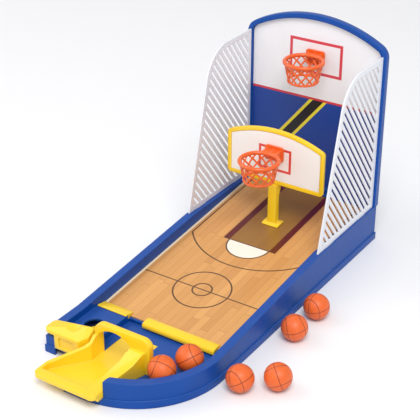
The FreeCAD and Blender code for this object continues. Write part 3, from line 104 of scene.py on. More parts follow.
def newGroup(title, kind, inputs, outputs):
    # An empty node group with named sockets: (name, socket kind, first value).
    tree = bpy.data.node_groups.new(title, kind)
    for name, socketKind, *value in inputs:
        socket = tree.interface.new_socket(name, in_out="INPUT", socket_type=f"NodeSocket{socketKind}")
        if value:
            socket.default_value = value[0]
    for name, socketKind in outputs:
        tree.interface.new_socket(name, in_out="OUTPUT", socket_type=f"NodeSocket{socketKind}")
    return tree, tree.nodes.new("NodeGroupInput").outputs, tree.nodes.new("NodeGroupOutput").inputs


def place(tree, group, **values):
    # Put a shader group into a material. Underscores in the names stand for spaces.
    node = addNode(tree, "ShaderNodeGroup", node_tree=group)
    for name, value in values.items():
        feed(tree, node.inputs[name.replace("_", " ")], value)
    return node.outputs


# shared effects

surfaceLook = {
    "grainDetail": 2.0, "grainShare": 0.6, "flowScale": 22.0, "flowDetail": 3.0, "flowRoughness": 0.55,
    "flowBend": 0.6, "smearScale": 160.0, "smearDetail": 4.0, "smearRoughness": 0.65,
}


def makeMouldedSurface(look):
    # Injection-moulded plastic: slow flow in tone, fine texture in height, and patchy gloss.
    tree, given, result = newGroup(
        "mouldedSurface", "ShaderNodeTree",
        [("Grain Scale", "Float"), ("Flow Scale", "Float", look["flowScale"])],
        [("Tone", "Float"), ("Gloss", "Float"), ("Height", "Float")],
    )
    spot = objectPoint(tree)
    flow = noise(tree, spot, Scale=given["Flow Scale"], Detail=look["flowDetail"],
                 Roughness=look["flowRoughness"], Distortion=look["flowBend"])
    grain = noise(tree, spot, Scale=given["Grain Scale"], Detail=look["grainDetail"])
    smear = noise(tree, spot, Scale=look["smearScale"], Detail=look["smearDetail"],
                  Roughness=look["smearRoughness"])
    feed(tree, result["Tone"], calc(tree, "SUBTRACT", flow, 0.5))
    feed(tree, result["Gloss"], calc(tree, "SUBTRACT", smear, 0.5))
    fromSmear = calc(tree, "MULTIPLY", smear, 1 - look["grainShare"])
    feed(tree, result["Height"], calc(tree, "MULTIPLY_ADD", grain, look["grainShare"], fromSmear))
    return tree


edgeWearAndHighlightLook = {"samples": 6, "noiseScale": 260.0, "noiseDetail": 3.0, "bendGain": 7.0, "breakGain": 1.6}


def makeEdgeWearAndHighlight(look):
    # Mask of outer and inner edges: where the rounded normal leaves the flat one, broken up by noise. The
    # plastics paint a lighter edge highlight through it, partly as wear; the prints paint scuffs.
    tree, given, result = newGroup(
        "edgeWearAndHighlight", "ShaderNodeTree", [("Radius", "Float"), ("Amount", "Float")],
        [("Mask", "Float"), ("Normal", "Vector")],
    )
    bevel = addNode(tree, "ShaderNodeBevel", {"Radius": given["Radius"]}, samples=look["samples"]).outputs[0]
    flat = addNode(tree, "ShaderNodeNewGeometry").outputs["Normal"]
    alike = addNode(tree, "ShaderNodeVectorMath", {0: bevel, 1: flat}, operation="DOT_PRODUCT").outputs
    bend = calc(tree, "MULTIPLY", calc(tree, "SUBTRACT", 1.0, alike["Value"]), look["bendGain"])
    breaks = noise(tree, objectPoint(tree), Scale=look["noiseScale"], Detail=look["noiseDetail"])
    breaks = calc(tree, "MULTIPLY", breaks, look["breakGain"])
    worn = calc(tree, "MULTIPLY", calc(tree, "MINIMUM", bend, 1.0), breaks)
    feed(tree, result["Mask"], calc(tree, "MINIMUM", calc(tree, "MULTIPLY", worn, given["Amount"]), 1.0))
    feed(tree, result["Normal"], bevel)
    return tree


dustLook = {"colour": rgb(205, 205, 200), "scale": 45.0, "detail": 6.0, "roughness": 0.7}


def makeDust(look):
    # Dust that settles on faces that look up, patchy.
    tree, given, result = newGroup("dust", "ShaderNodeTree", [("Amount", "Float")], [("Mask", "Float")])
    normal = addNode(tree, "ShaderNodeNewGeometry").outputs["Normal"]
    up = addNode(tree, "ShaderNodeSeparateXYZ", {"Vector": normal}).outputs["Z"]
    patches = noise(tree, objectPoint(tree), Scale=look["scale"], Detail=look["detail"],
                    Roughness=look["roughness"])
    settled = calc(tree, "MULTIPLY", calc(tree, "MAXIMUM", up, 0.0), patches)
    feed(tree, result["Mask"], calc(tree, "MULTIPLY", settled, given["Amount"]))
    return tree


printSoftness = 0.2 * mm  # width of the blurred edge of a printed form


def makeRectangle():
    # Mask of an upright rectangle on a flat print.
    tree, given, result = newGroup(
        "rectangle", "ShaderNodeTree",
        [("Across", "Float"), ("Up", "Float"), ("Middle Across", "Float"), ("Middle Up", "Float"),
         ("Half Width", "Float"), ("Half Height", "Float"), ("Softness", "Float", printSoftness)],
        [("Mask", "Float")],
    )
    sides = []
    for along, half in (("Across", "Half Width"), ("Up", "Half Height")):
        away = calc(tree, "ABSOLUTE", calc(tree, "SUBTRACT", given[along], given[f"Middle {along}"]))
        inside = calc(tree, "DIVIDE", calc(tree, "SUBTRACT", given[half], away), given["Softness"])
        sides.append(clamped(tree, inside))
    feed(tree, result["Mask"], calc(tree, "MULTIPLY", *sides))
    return tree


def makeDisc():
    # Mask of a round patch on a flat print.
    tree, given, result = newGroup(
        "disc", "ShaderNodeTree",
        [("Across", "Float"), ("Up", "Float"), ("Middle Across", "Float"), ("Middle Up", "Float"),
         ("Radius", "Float"), ("Softness", "Float", printSoftness)],
        [("Mask", "Float")],
    )
    squares = []
    for along in ("Across", "Up"):
        away = calc(tree, "ABSOLUTE", calc(tree, "SUBTRACT", given[along], given[f"Middle {along}"]))
        squares.append(calc(tree, "POWER", away, 2.0))
    away = calc(tree, "SQRT", calc(tree, "ADD", *squares))
    inside = calc(tree, "DIVIDE", calc(tree, "SUBTRACT", given["Radius"], away), given["Softness"])
    feed(tree, result["Mask"], clamped(tree, inside))
    return tree


mouldedSurface = makeMouldedSurface(surfaceLook)
edgeWearAndHighlight = makeEdgeWearAndHighlight(edgeWearAndHighlightLook)
dust = makeDust(dustLook)
rectangle = makeRectangle()
disc = makeDisc()


def newMaterial(title, **fixed):
    # A material with one Principled BSDF, and its constant values on the shader's own sockets.
    material = bpy.data.materials.new(title)
    material.use_nodes = True
    shader = material.node_tree.nodes["Principled BSDF"]
    for name, value in fixed.items():
        shader.inputs[name.replace("_", " ")].default_value = value
    return material, material.node_tree, shader.inputs


def roughen(tree, shader, change, base, spread):
    feed(tree, shader["Roughness"], calc(tree, "MULTIPLY_ADD", change, spread, base))


def bump(tree, height, strength, distance, normal=None):
    node = addNode(tree, "ShaderNodeBump", {"Height": height, "Strength": strength, "Distance": distance})
    if normal is not None:
        feed(tree, node.inputs["Normal"], normal)
    return node.outputs[0]


def shade(tree, colour, tone, depth):
    # Darken and lighten a colour by a value about zero.
    value = calc(tree, "MULTIPLY_ADD", tone, depth, 1.0)
    return addNode(tree, "ShaderNodeHueSaturation", {"Value": value, "Color": colour}).outputs[0]


mouldedLook = {"ior": 1.49, "coatRoughness": 0.12, "grainHeight": 0.1 * mm}


def plasticMaterial(title, look, shared):
    material, tree, shader = newMaterial(
        title, IOR=shared["ior"], Specular_IOR_Level=look["specular"], Coat_Weight=look["coat"],
        Coat_Roughness=shared["coatRoughness"])
    surface = place(tree, mouldedSurface, Grain_Scale=look["grainScale"])
    edges = place(tree, edgeWearAndHighlight, Radius=look["edgeRadius"], Amount=look["edgeWearAndHighlight"])
    settled = place(tree, dust, Amount=look["dust"])["Mask"]
    colour = shade(tree, look["colour"], surface["Tone"], look["toneDepth"])
    # painted highlight: a lighter tint along the edges, broken up by noise, partly as wear
    colour = blendColour(tree, edges["Mask"], colour, look["edgeHighlightAndWearColour"])
    feed(tree, shader["Base Color"], blendColour(tree, settled, colour, dustLook["colour"]))
    roughen(tree, shader, surface["Gloss"], look["roughness"], look["glossSpread"])
    relief = bump(tree, surface["Height"], look["grain"], shared["grainHeight"], edges["Normal"])
    feed(tree, shader["Normal"], relief)
    return material


# the edge colour of each look is a lighter tint painted along the edges as highlight, partly as wear
plasticLooks = {
    "bluePlastic": {
        "colour": rgb(0, 70, 155), "edgeHighlightAndWearColour": rgb(40, 116, 208), "roughness": 0.36, "glossSpread": 0.14,
        "specular": 0.3, "coat": 0.0, "grain": 0.25, "grainScale": 1500.0, "toneDepth": 0.22,
        "edgeRadius": 1.1 * mm, "edgeWearAndHighlight": 0.3, "dust": 0.05,
    },
    "darkBluePlastic": {
        "colour": rgb(8, 44, 100), "edgeHighlightAndWearColour": rgb(50, 96, 165), "roughness": 0.45, "glossSpread": 0.16,
        "specular": 0.4, "coat": 0.0, "grain": 0.4, "grainScale": 1200.0, "toneDepth": 0.25,
        "edgeRadius": 0.6 * mm, "edgeWearAndHighlight": 0.3, "dust": 0.1,
    },
    "yellowPlastic": {
        "colour": rgb(251, 209, 28), "edgeHighlightAndWearColour": rgb(255, 236, 128), "roughness": 0.3, "glossSpread": 0.14,
        "specular": 0.5, "coat": 0.25, "grain": 0.25, "grainScale": 1500.0, "toneDepth": 0.14,
        "edgeRadius": 0.9 * mm, "edgeWearAndHighlight": 0.3, "dust": 0.04,
    },
    "whitePlastic": {
        "colour": rgb(232, 234, 240), "edgeHighlightAndWearColour": rgb(250, 250, 252), "roughness": 0.42,
        "glossSpread": 0.16, "specular": 0.5, "coat": 0.1, "grain": 0.3, "grainScale": 1500.0,
        "toneDepth": 0.08, "edgeRadius": 0.5 * mm, "edgeWearAndHighlight": 0.4, "dust": 0.03,
    },
    "orangePlastic": {
        "colour": rgb(236, 98, 30), "edgeHighlightAndWearColour": rgb(250, 156, 92), "roughness": 0.33, "glossSpread": 0.14,
        "specular": 0.5, "coat": 0.2, "grain": 0.3, "grainScale": 1500.0, "toneDepth": 0.2,
        "edgeRadius": 0.6 * mm, "edgeWearAndHighlight": 0.35, "dust": 0.04,
    },
}
finishes = {title: plasticMaterial(title, look, mouldedLook) for title, look in plasticLooks.items()}
print("plastic finishes made:", len(finishes))


# printed cards

def flatCoordinates(tree, across, up):
    parts = addNode(tree, "ShaderNodeSeparateXYZ", {"Vector": objectPoint(tree)}).outputs
    return parts[across], parts[up]


def boxMask(tree, flat, left, low, right, high):
    # Mask of a rectangle, on the two coordinates of a card.
    return place(tree, rectangle, Across=flat[0], Up=flat[1],
                 Middle_Across=(left + right) / 2, Half_Width=(right - left) / 2,
                 Middle_Up=(low + high) / 2, Half_Height=(high - low) / 2)["Mask"]


def targetMask(tree, flat, look):
    # The outline of the shooting target, standing on the card's middle line.
    half, low, high, line = (look[name] for name in ("targetHalf", "targetLow", "targetHigh", "targetLine"))
    outer = boxMask(tree, flat, -half, low, half, high)
    inner = boxMask(tree, flat, line - half, low + line, half - line, high - line)
    return calc(tree, "SUBTRACT", outer, inner)


paperLook = {
    "grainScale": 2600.0, "flowScale": 14.0, "edgeRadius": 0.4 * mm, "edgeWearAndHighlight": 0.8, "toneDepth": 0.1,
    "scuff": rgb(214, 203, 184), "glossSpread": 0.16, "grain": 0.3, "grainHeight": 0.08 * mm,
}


def finishPrint(tree, shader, colour, roughness, look=paperLook):
    # Paper fibre and worn edges over a printed colour.
    surface = place(tree, mouldedSurface, Grain_Scale=look["grainScale"], Flow_Scale=look["flowScale"])
    edges = place(tree, edgeWearAndHighlight, Radius=look["edgeRadius"], Amount=look["edgeWearAndHighlight"])
    colour = shade(tree, colour, surface["Tone"], look["toneDepth"])
    feed(tree, shader["Base Color"], blendColour(tree, edges["Mask"], colour, look["scuff"]))
    roughen(tree, shader, surface["Gloss"], roughness, look["glossSpread"])
    feed(tree, shader["Normal"], bump(tree, surface["Height"], look["grain"], look["grainHeight"]))


courtLook = {
    "wood": rgb(228, 170, 100), "woodDark": rgb(196, 134, 70), "joint": rgb(150, 96, 44),
    "plankWidth": 7.5 * mm, "plankLength": 88 * mm,
    "sideJoint": 0.025, "endJoint": 0.0035, "jointDepth": 0.45,  # widths as shares of a plank
    "plankShare": 0.55, "grainShare": 0.35, "grainAcross": 900.0, "grainAlong": 38.0, "grainJump": 40.0,
    "grainDetail": 5.0, "grainBend": 0.8,
    "laneWood": rgb(132, 92, 30), "laneTint": 0.82, "laneSide": rgb(96, 22, 18), "laneSideWidth": 7 * mm,
    "laneFront": 41 * mm, "laneHalf": 29 * mm, "throwRadius": 22 * mm, "white": rgb(244, 238, 224),
    "line": rgb(92, 60, 32), "lineWidth": 1.5 * mm, "farEnd": 200 * mm,
    "arcMiddle": 80.6 * mm, "arcRadius": 76.6 * mm, "arcEnd": 34 * mm, "arcSide": 60.6 * mm,
    "arcSideFront": 33 * mm, "circleMiddle": -40 * mm, "circleRadius": 27 * mm, "innerCircle": 0.34,
    "halfwayReach": 70 * mm, "border": rgb(250, 232, 196), "borderFrom": 63.6 * mm, "borderDepth": 0.9,
    "coat": 0.35, "coatRoughness": 0.18, "roughness": 0.36,
}


def woodColour(tree, x, y, look):
    # Boards along y, each with its own tone and its own stretch of grain.
    row = calc(tree, "DIVIDE", x, look["plankWidth"])
    rowNumber = calc(tree, "FLOOR", row)
    shift = addNode(tree, "ShaderNodeTexWhiteNoise", {"W": rowNumber}, noise_dimensions="1D").outputs["Value"]
    along = calc(tree, "ADD", calc(tree, "DIVIDE", y, look["plankLength"]), shift)
    alongNumber = calc(tree, "FLOOR", along)
    plank = addNode(tree, "ShaderNodeCombineXYZ", {"X": rowNumber, "Y": alongNumber}).outputs[0]
    tone = addNode(tree, "ShaderNodeTexWhiteNoise", {"Vector": plank}, noise_dimensions="2D").outputs["Value"]
    grainSpot = addNode(tree, "ShaderNodeCombineXYZ", {
        "X": calc(tree, "MULTIPLY", x, look["grainAcross"]),
        "Y": calc(tree, "MULTIPLY", y, look["grainAlong"]),
        "Z": calc(tree, "MULTIPLY", tone, look["grainJump"]),
    }).outputs[0]
    grain = noise(tree, grainSpot, Scale=1.0, Detail=look["grainDetail"], Distortion=look["grainBend"])
    grain = calc(tree, "MULTIPLY", grain, look["grainShare"])
    dark = calc(tree, "MULTIPLY_ADD", tone, look["plankShare"], grain)
    colour = blendColour(tree, dark, look["wood"], look["woodDark"])
    joints = []
    for count, width in ((row, look["sideJoint"]), (along, look["endJoint"])):
        fromMiddle = calc(tree, "ABSOLUTE", calc(tree, "SUBTRACT", calc(tree, "FRACT", count), 0.5))
        joints.append(calc(tree, "GREATER_THAN", fromMiddle, 0.5 - width))
    joint = calc(tree, "MULTIPLY", calc(tree, "MAXIMUM", *joints), look["jointDepth"])
    return blendColour(tree, joint, colour, look["joint"])


def makeCourtPrint(look):
    # Wood boards with the usual lines of a court, drawn from the piece's own x and y.
    material, tree, shader = newMaterial(
        "courtPrint", Coat_Weight=look["coat"], Coat_Roughness=look["coatRoughness"])
    x, y = flat = flatCoordinates(tree, "X", "Y")
    half, front, far = look["laneHalf"], look["laneFront"], look["farEnd"]
    width, middle = look["lineWidth"], look["circleMiddle"]

    def circle(centre, radius):
        return place(tree, disc, Across=x, Up=y, Middle_Across=0.0, Middle_Up=centre, Radius=radius)["Mask"]

    def ring(centre, radius):
        return calc(tree, "SUBTRACT", circle(centre, radius + width / 2), circle(centre, radius - width / 2))

    def levelLine(reach, at):
        return boxMask(tree, flat, -reach, at - width / 2, reach, at + width / 2)

    def sideLine(at):
        return boxMask(tree, flat, at - width / 2, look["arcSideFront"], at + width / 2, far)

    colour = woodColour(tree, x, y, look)
    lane = boxMask(tree, flat, -half, front, half, far)
    colour = blendColour(tree, lane, colour, blendColour(tree, look["laneTint"], colour, look["laneWood"]))
    inFront = calc(tree, "LESS_THAN", y, front)
    throwHalf = calc(tree, "MULTIPLY", circle(front, look["throwRadius"]), inFront)
    colour = blendColour(tree, throwHalf, colour, look["white"])
    arc = ring(look["arcMiddle"], look["arcRadius"])
    lines = calc(tree, "MULTIPLY", ring(front, look["throwRadius"]), inFront)
    for mask in (
        levelLine(half, front),
        calc(tree, "MULTIPLY", arc, calc(tree, "LESS_THAN", y, look["arcEnd"])),
        sideLine(-look["arcSide"]),
        sideLine(look["arcSide"]),
        ring(middle, look["circleRadius"]),
        ring(middle, look["circleRadius"] * look["innerCircle"]),
        levelLine(look["halfwayReach"], middle),
    ):
        lines = calc(tree, "MAXIMUM", lines, mask)
    colour = blendColour(tree, lines, colour, look["line"])
    for side in (-1, 1):
        inner, outer = sorted((side * (half - look["laneSideWidth"]), side * half))
        colour = blendColour(tree, boxMask(tree, flat, inner, front, outer, far), colour, look["laneSide"])
    border = calc(tree, "GREATER_THAN", calc(tree, "ABSOLUTE", x), look["borderFrom"])
    colour = blendColour(tree, calc(tree, "MULTIPLY", border, look["borderDepth"]), colour, look["border"])
    finishPrint(tree, shader, colour, look["roughness"])
    return material


panelLook = {
    "white": rgb(240, 241, 245), "red": rgb(214, 58, 74), "divide": 135 * mm, "divideLine": 2.4 * mm,
    "targetHalf": 29 * mm, "targetLow": 162 * mm, "targetHigh": 197 * mm, "targetLine": 3 * mm,
    "navy": rgb(10, 64, 156), "stripe": rgb(236, 222, 60), "black": rgb(16, 20, 34), "stripeAngle": 51.0,
    "stripeAt": (-14 * mm, 112 * mm), "stripeWidth": 3.0 * mm, "stripeGap": 9.0 * mm,
    "coat": 0.3, "coatRoughness": 0.2, "roughness": 0.4,
}


def makePanelPrint(look):
    # White upper half with a shooting target, navy lower half with a slanted pair of stripes.
    material, tree, shader = newMaterial(
        "panelPrint", Coat_Weight=look["coat"], Coat_Roughness=look["coatRoughness"])
    x, z = flat = flatCoordinates(tree, "X", "Z")
    angle = math.radians(look["stripeAngle"])
    atX, atZ = look["stripeAt"]
    away = calc(tree, "ADD", calc(tree, "MULTIPLY", calc(tree, "SUBTRACT", x, atX), math.sin(angle)),
                calc(tree, "MULTIPLY", calc(tree, "SUBTRACT", z, atZ), -math.cos(angle)))
    fromMiddle = calc(tree, "ABSOLUTE", away)
    band = calc(tree, "LESS_THAN", fromMiddle, look["stripeGap"] / 2 + look["stripeWidth"])
    core = calc(tree, "LESS_THAN", fromMiddle, look["stripeGap"] / 2)
    navy = blendColour(tree, band, look["navy"], look["stripe"])
    navy = blendColour(tree, core, navy, look["black"])
    halfLine = look["divideLine"] / 2
    fromLine = calc(tree, "ABSOLUTE", calc(tree, "SUBTRACT", z, look["divide"] + halfLine))
    upper = blendColour(tree, targetMask(tree, flat, look), look["white"], look["red"])
    upper = blendColour(tree, calc(tree, "LESS_THAN", fromLine, halfLine), upper, look["red"])
    lower = calc(tree, "LESS_THAN", z, look["divide"])
    finishPrint(tree, shader, blendColour(tree, lower, upper, navy), look["roughness"])
    return material


boardLook = {
    "white": rgb(242, 240, 236), "red": rgb(220, 66, 60), "targetHalf": 18 * mm, "targetLow": 88 * mm,
    "targetHigh": 113 * mm, "targetLine": 2.6 * mm, "coat": 0.3, "coatRoughness": 0.2, "roughness": 0.4,
}


def makeBoardPrint(look):
    # White with a shooting target.
    material, tree, shader = newMaterial(
        "boardPrint", Coat_Weight=look["coat"], Coat_Roughness=look["coatRoughness"])
    target = targetMask(tree, flatCoordinates(tree, "X", "Z"), look)
    finishPrint(tree, shader, blendColour(tree, target, look["white"], look["red"]), look["roughness"])
    return material


# metal and balls

steelLook = {
    "steel": {"colour": rgb(190, 190, 194), "roughness": 0.3},
    "springSteel": {"colour": rgb(160, 160, 168), "roughness": 0.26},
}
scratchLook = {
    "stretch": (9000.0, 600.0, 600.0), "detail": 3.0, "toneDepth": 0.35, "glossSpread": 0.2,
    "depth": 0.2, "height": 0.03 * mm,
}


def makeSteel(title, look, scratch):
    # Bare steel with fine scratches across its x.
    material, tree, shader = newMaterial(title, Metallic=1.0)
    stretched = addNode(
        tree, "ShaderNodeMapping", {"Vector": objectPoint(tree), "Scale": scratch["stretch"]}).outputs[0]
    scratches = noise(tree, stretched, Scale=1.0, Detail=scratch["detail"])
    tone = calc(tree, "SUBTRACT", scratches, 0.5)
    feed(tree, shader["Base Color"], shade(tree, look["colour"], tone, scratch["toneDepth"]))
    roughen(tree, shader, tone, look["roughness"], scratch["glossSpread"])
    feed(tree, shader["Normal"], bump(tree, scratches, scratch["depth"], scratch["height"]))
    return material


ballLook = {
    "colour": rgb(240, 114, 44), "dark": rgb(218, 88, 30), "patchScale": 2.2, "patchDetail": 5.0,
    "seam": rgb(122, 44, 20), "seamWidth": 0.042, "seamGain": 1.8, "seamDepth": 0.8, "seamAt": 0.5,
    "seamBow": 0.26, "seamDip": 0.012, "pebble": 26.0, "pebbleShare": 0.6, "relief": 0.55,
    "reliefHeight": 0.2 * mm, "roughness": 0.36, "glossSpread": 0.2, "coat": 0.08, "coatRoughness": 0.3,
    "divisions": 40,
    "turns": ((20, 35, 10), (70, 10, 40), (15, 60, 80), (50, 20, 130), (80, 40, 20), (35, 75, 60)),
}


def makeBallMaterial(look):
    # Pebbled skin with seams, both drawn from the ball's own point attribute.
    material, tree, shader = newMaterial(
        "ballSkin", Coat_Weight=look["coat"], Coat_Roughness=look["coatRoughness"])
    point = addNode(tree, "ShaderNodeAttribute", attribute_name="ballPoint").outputs["Vector"]
    unit = addNode(tree, "ShaderNodeVectorMath", {0: point}, operation="NORMALIZE").outputs[0]
    parts = addNode(tree, "ShaderNodeSeparateXYZ", {"Vector": unit}).outputs
    x, y, z = (calc(tree, "ABSOLUTE", parts[side]) for side in "XYZ")
    bow = calc(tree, "MULTIPLY_ADD", calc(tree, "MULTIPLY", z, z), look["seamBow"], look["seamAt"])
    bowed = calc(tree, "ABSOLUTE", calc(tree, "SUBTRACT", x, bow))
    away = calc(tree, "MINIMUM", calc(tree, "MINIMUM", y, z), bowed)
    away = calc(tree, "MINIMUM", calc(tree, "DIVIDE", away, look["seamWidth"]), 1.0)
    seam = calc(tree, "MULTIPLY", calc(tree, "SUBTRACT", 1.0, away), look["seamGain"])
    seam = calc(tree, "MINIMUM", seam, 1.0)
    pebble = addNode(tree, "ShaderNodeTexVoronoi", {"Vector": unit, "Scale": look["pebble"]}).outputs
    patches = noise(tree, unit, Scale=look["patchScale"], Detail=look["patchDetail"])
    colour = blendColour(tree, patches, look["colour"], look["dark"])
    colour = blendColour(tree, calc(tree, "MULTIPLY", seam, look["seamDepth"]), colour, look["seam"])
    feed(tree, shader["Base Color"], colour)
    roughen(tree, shader, patches, look["roughness"], look["glossSpread"])
    height = calc(tree, "SUBTRACT", calc(tree, "MULTIPLY", pebble["Distance"], look["pebbleShare"]), seam)
    feed(tree, shader["Normal"], bump(tree, height, look["relief"], look["reliefHeight"]))
    return material


finishes["courtPrint"] = makeCourtPrint(courtLook)
finishes["panelPrint"] = makePanelPrint(panelLook)
finishes["boardPrint"] = makeBoardPrint(boardLook)
for steelTitle, steel in steelLook.items():
    finishes[steelTitle] = makeSteel(steelTitle, steel, scratchLook)
finishes["ballSkin"] = makeBallMaterial(ballLook)
print("printed, metal and ball finishes made")


# camera, light and floor

cameraLook = {
    "azimuth": 33.41, "elevation": 28.51, "distance": 1.02, "lens": 98.0, "sensor": 36.0, "nearest": 0.02,
    "aim": (-0.004, -0.021, 0.092),
}
lampLooks = {
    "keyLight": {"power": 62.0, "size": 1.7, "spot": (1.1, -1.4, 2.6), "aim": (0, 0, 0.06)},
    "fillLight": {"power": 16.0, "size": 2.0, "spot": (-1.9, -0.7, 1.5), "aim": (0, 0, 0.08)},
}
stageLook = {
    "colour": rgb(240, 240, 242), "roughness": 0.85, "fibreScale": 6.0, "fibreDetail": 4.0, "toneDepth": 0.02,
    "reach": 4.0, "drop": 0.3 * mm, "worldStrength": 0.6,
}


def makeCamera(look):
    azimuth, elevation = math.radians(look["azimuth"]), math.radians(look["elevation"])
    away = Vector((math.sin(azimuth) * math.cos(elevation), -math.cos(azimuth) * math.cos(elevation),
                   math.sin(elevation)))
    camera = bpy.data.objects.new("camera", bpy.data.cameras.new("camera"))
    camera.data.lens = look["lens"]
    camera.data.sensor_width = look["sensor"]
    camera.data.clip_start = look["nearest"]
    camera.location = Vector(look["aim"]) + away * look["distance"]
    camera.rotation_euler = (-away).to_track_quat("-Z", "Y").to_euler()
    bpy.context.scene.collection.objects.link(camera)
    bpy.context.scene.camera = camera


def makeLamp(title, look):
    lamp = bpy.data.objects.new(title, bpy.data.lights.new(title, "AREA"))
    lamp.data.shape = "DISK"
    lamp.data.size = look["size"]
    lamp.data.energy = look["power"]
    lamp.location = look["spot"]
    lamp.rotation_euler = (Vector(look["aim"]) - Vector(look["spot"])).to_track_quat("-Z", "Y").to_euler()
    bpy.context.scene.collection.objects.link(lamp)


def makeFloor(look):
    # A wide pale floor that takes the shadow.
    mesh = bpy.data.meshes.new("floor")
    reach = look["reach"]
    corners = [(-reach, -reach, 0), (reach, -reach, 0), (reach, reach, 0), (-reach, reach, 0)]
    mesh.from_pydata(corners, [], [(0, 1, 2, 3)])
    floor = bpy.data.objects.new("floor", mesh)
    bpy.context.scene.collection.objects.link(floor)
    floor.location.z = -look["drop"]
    material, tree, shader = newMaterial("floorPaper", Roughness=look["roughness"])
    fibre = noise(tree, objectPoint(tree), Scale=look["fibreScale"], Detail=look["fibreDetail"])
    tone = calc(tree, "SUBTRACT", fibre, 0.5)
    feed(tree, shader["Base Color"], shade(tree, look["colour"], tone, look["toneDepth"]))
    mesh.materials.append(material)


def makeWorld(look):
    # Even white light, and full white where the camera or a clear piece sees it.
    world = bpy.data.worlds.new("studio")
    bpy.context.scene.world = world
    world.use_nodes = True
    tree = world.node_tree
    background = tree.nodes["Background"].inputs
    path = addNode(tree, "ShaderNodeLightPath").outputs
    seen = calc(tree, "MAXIMUM", path["Is Camera Ray"], path["Is Transmission Ray"])
    strength = look["worldStrength"]
    feed(tree, background["Strength"], calc(tree, "MULTIPLY_ADD", seen, 1.0 - strength, strength))
    background["Color"].default_value = (1, 1, 1, 1)


makeCamera(cameraLook)
makeFloor(stageLook)
makeWorld(stageLook)
for lampTitle, lampLook in lampLooks.items():
    makeLamp(lampTitle, lampLook)
bpy.context.scene.view_settings.view_transform = "Standard"
print("camera, lamps and floor set")


# pieces

def addPiece(mesh, title, body, material, replaced=()):
    piece = bpy.data.objects.new(title, mesh)
    bpy.context.scene.collection.objects.link(piece)
    mesh.materials.clear()
    mesh.materials.append(material)
    if body:
        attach(piece, body)
    if replaced:
        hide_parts(*replaced)
    return piece


def plainCopy(holder):
    # The finished mesh of an object with modifiers. The object goes.
    mesh = bpy.data.meshes.new_from_object(holder.evaluated_get(bpy.context.evaluated_depsgraph_get()))
    bpy.data.objects.remove(holder)
    return mesh


def smoothBetween(mesh, angle):
    mesh.shade_smooth()
    mesh.set_sharp_from_angle(angle=math.radians(angle))


# CAD pieces that stay as they are, with their finishes
plainLook = {
    "base_shell": "bluePlastic", "court_card": "courtPrint", "lever_carrier": "darkBluePlastic",
    "lever_pin": "steel", "back_card": "panelPrint", "side_fence_left": "whitePlastic",
    "side_fence_right": "whitePlastic", "lower_board": "boardPrint",
}


def dressNodes(look):
    for node, finish in look.items():
        mesh = cadNodes[node].data
        mesh.materials.clear()
        mesh.materials.append(finishes[finish])
        for face in mesh.polygons:
            face.material_index = 0


def closedCopy(node, flat):
    # The CAD piece as one closed mesh, its flat faces joined where they meet under the angle given.
    mesh = cadNodes[node].data.copy()
    shell = bmesh.new()
    shell.from_mesh(mesh)
    bmesh.ops.remove_doubles(shell, verts=shell.verts, dist=mergeDistance)
    if flat:
        bmesh.ops.dissolve_limit(shell, angle_limit=math.radians(flat), verts=shell.verts, edges=shell.edges)
    shell.to_mesh(mesh)
    shell.free()
    mesh.shade_smooth()
    return mesh


softening = {"flatAngle": 0.4, "sharpAngle": 32.0}
# node: title, body, finish, slot, width of the rounding, segments
softLook = {
    "launch_lever": ("launchPad", "lever", "yellowPlastic", "lever_yellow", 0.9 * mm, 3),
    "return_chute": ("ballReturn", "game", "yellowPlastic", "yellow_plastic", 0.8 * mm, 3),
    "hoop_post": ("hoopPost", "game", "yellowPlastic", "yellow_plastic", 0.7 * mm, 3),
    "court_bar_left": ("leftStrip", "game", "yellowPlastic", "yellow_plastic", 0.35 * mm, 2),
    "court_bar_right": ("rightStrip", "game", "yellowPlastic", "yellow_plastic", 0.35 * mm, 2),
    "lower_board_frame": ("smallBoardFrame", "game", "yellowPlastic", "yellow_plastic", 0.5 * mm, 2),
    "back_frame": ("backPanelFrame", "game", "bluePlastic", "blue_plastic", 0.9 * mm, 3),
}


def makeSoftEdged(look, angles):
    # CAD pieces with small rounded edges.
    for node, (title, body, finish, slot, width, segments) in look.items():
        holder = bpy.data.objects.new("holder", closedCopy(node, angles["flatAngle"]))
        bpy.context.scene.collection.objects.link(holder)
        bevel = holder.modifiers.new("bevel", "BEVEL")
        bevel.width = width
        bevel.segments = segments
        bevel.limit_method = "ANGLE"
        bevel.angle_limit = math.radians(angles["sharpAngle"])
        bevel.use_clamp_overlap = True
        bevel.miter_outer = "MITER_ARC"
        bevel.harden_normals = True
        addPiece(plainCopy(holder), title, body, finishes[finish], (node,))


springLook = {"node": "lever_spring", "endTurn": 0.125, "sharpAngle": 40.0}


def makePadSpring(look):
    # The CAD coil as one closed mesh, its lower turn on the carrier; it rides no body, so its top turn stays
    # where it is.
    node = look["node"]
    mesh = closedCopy(node, 0.0)
    smoothBetween(mesh, look["sharpAngle"])
    spring = addPiece(mesh, "padSpring", None, finishes["springSteel"], (node,))
    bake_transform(spring)


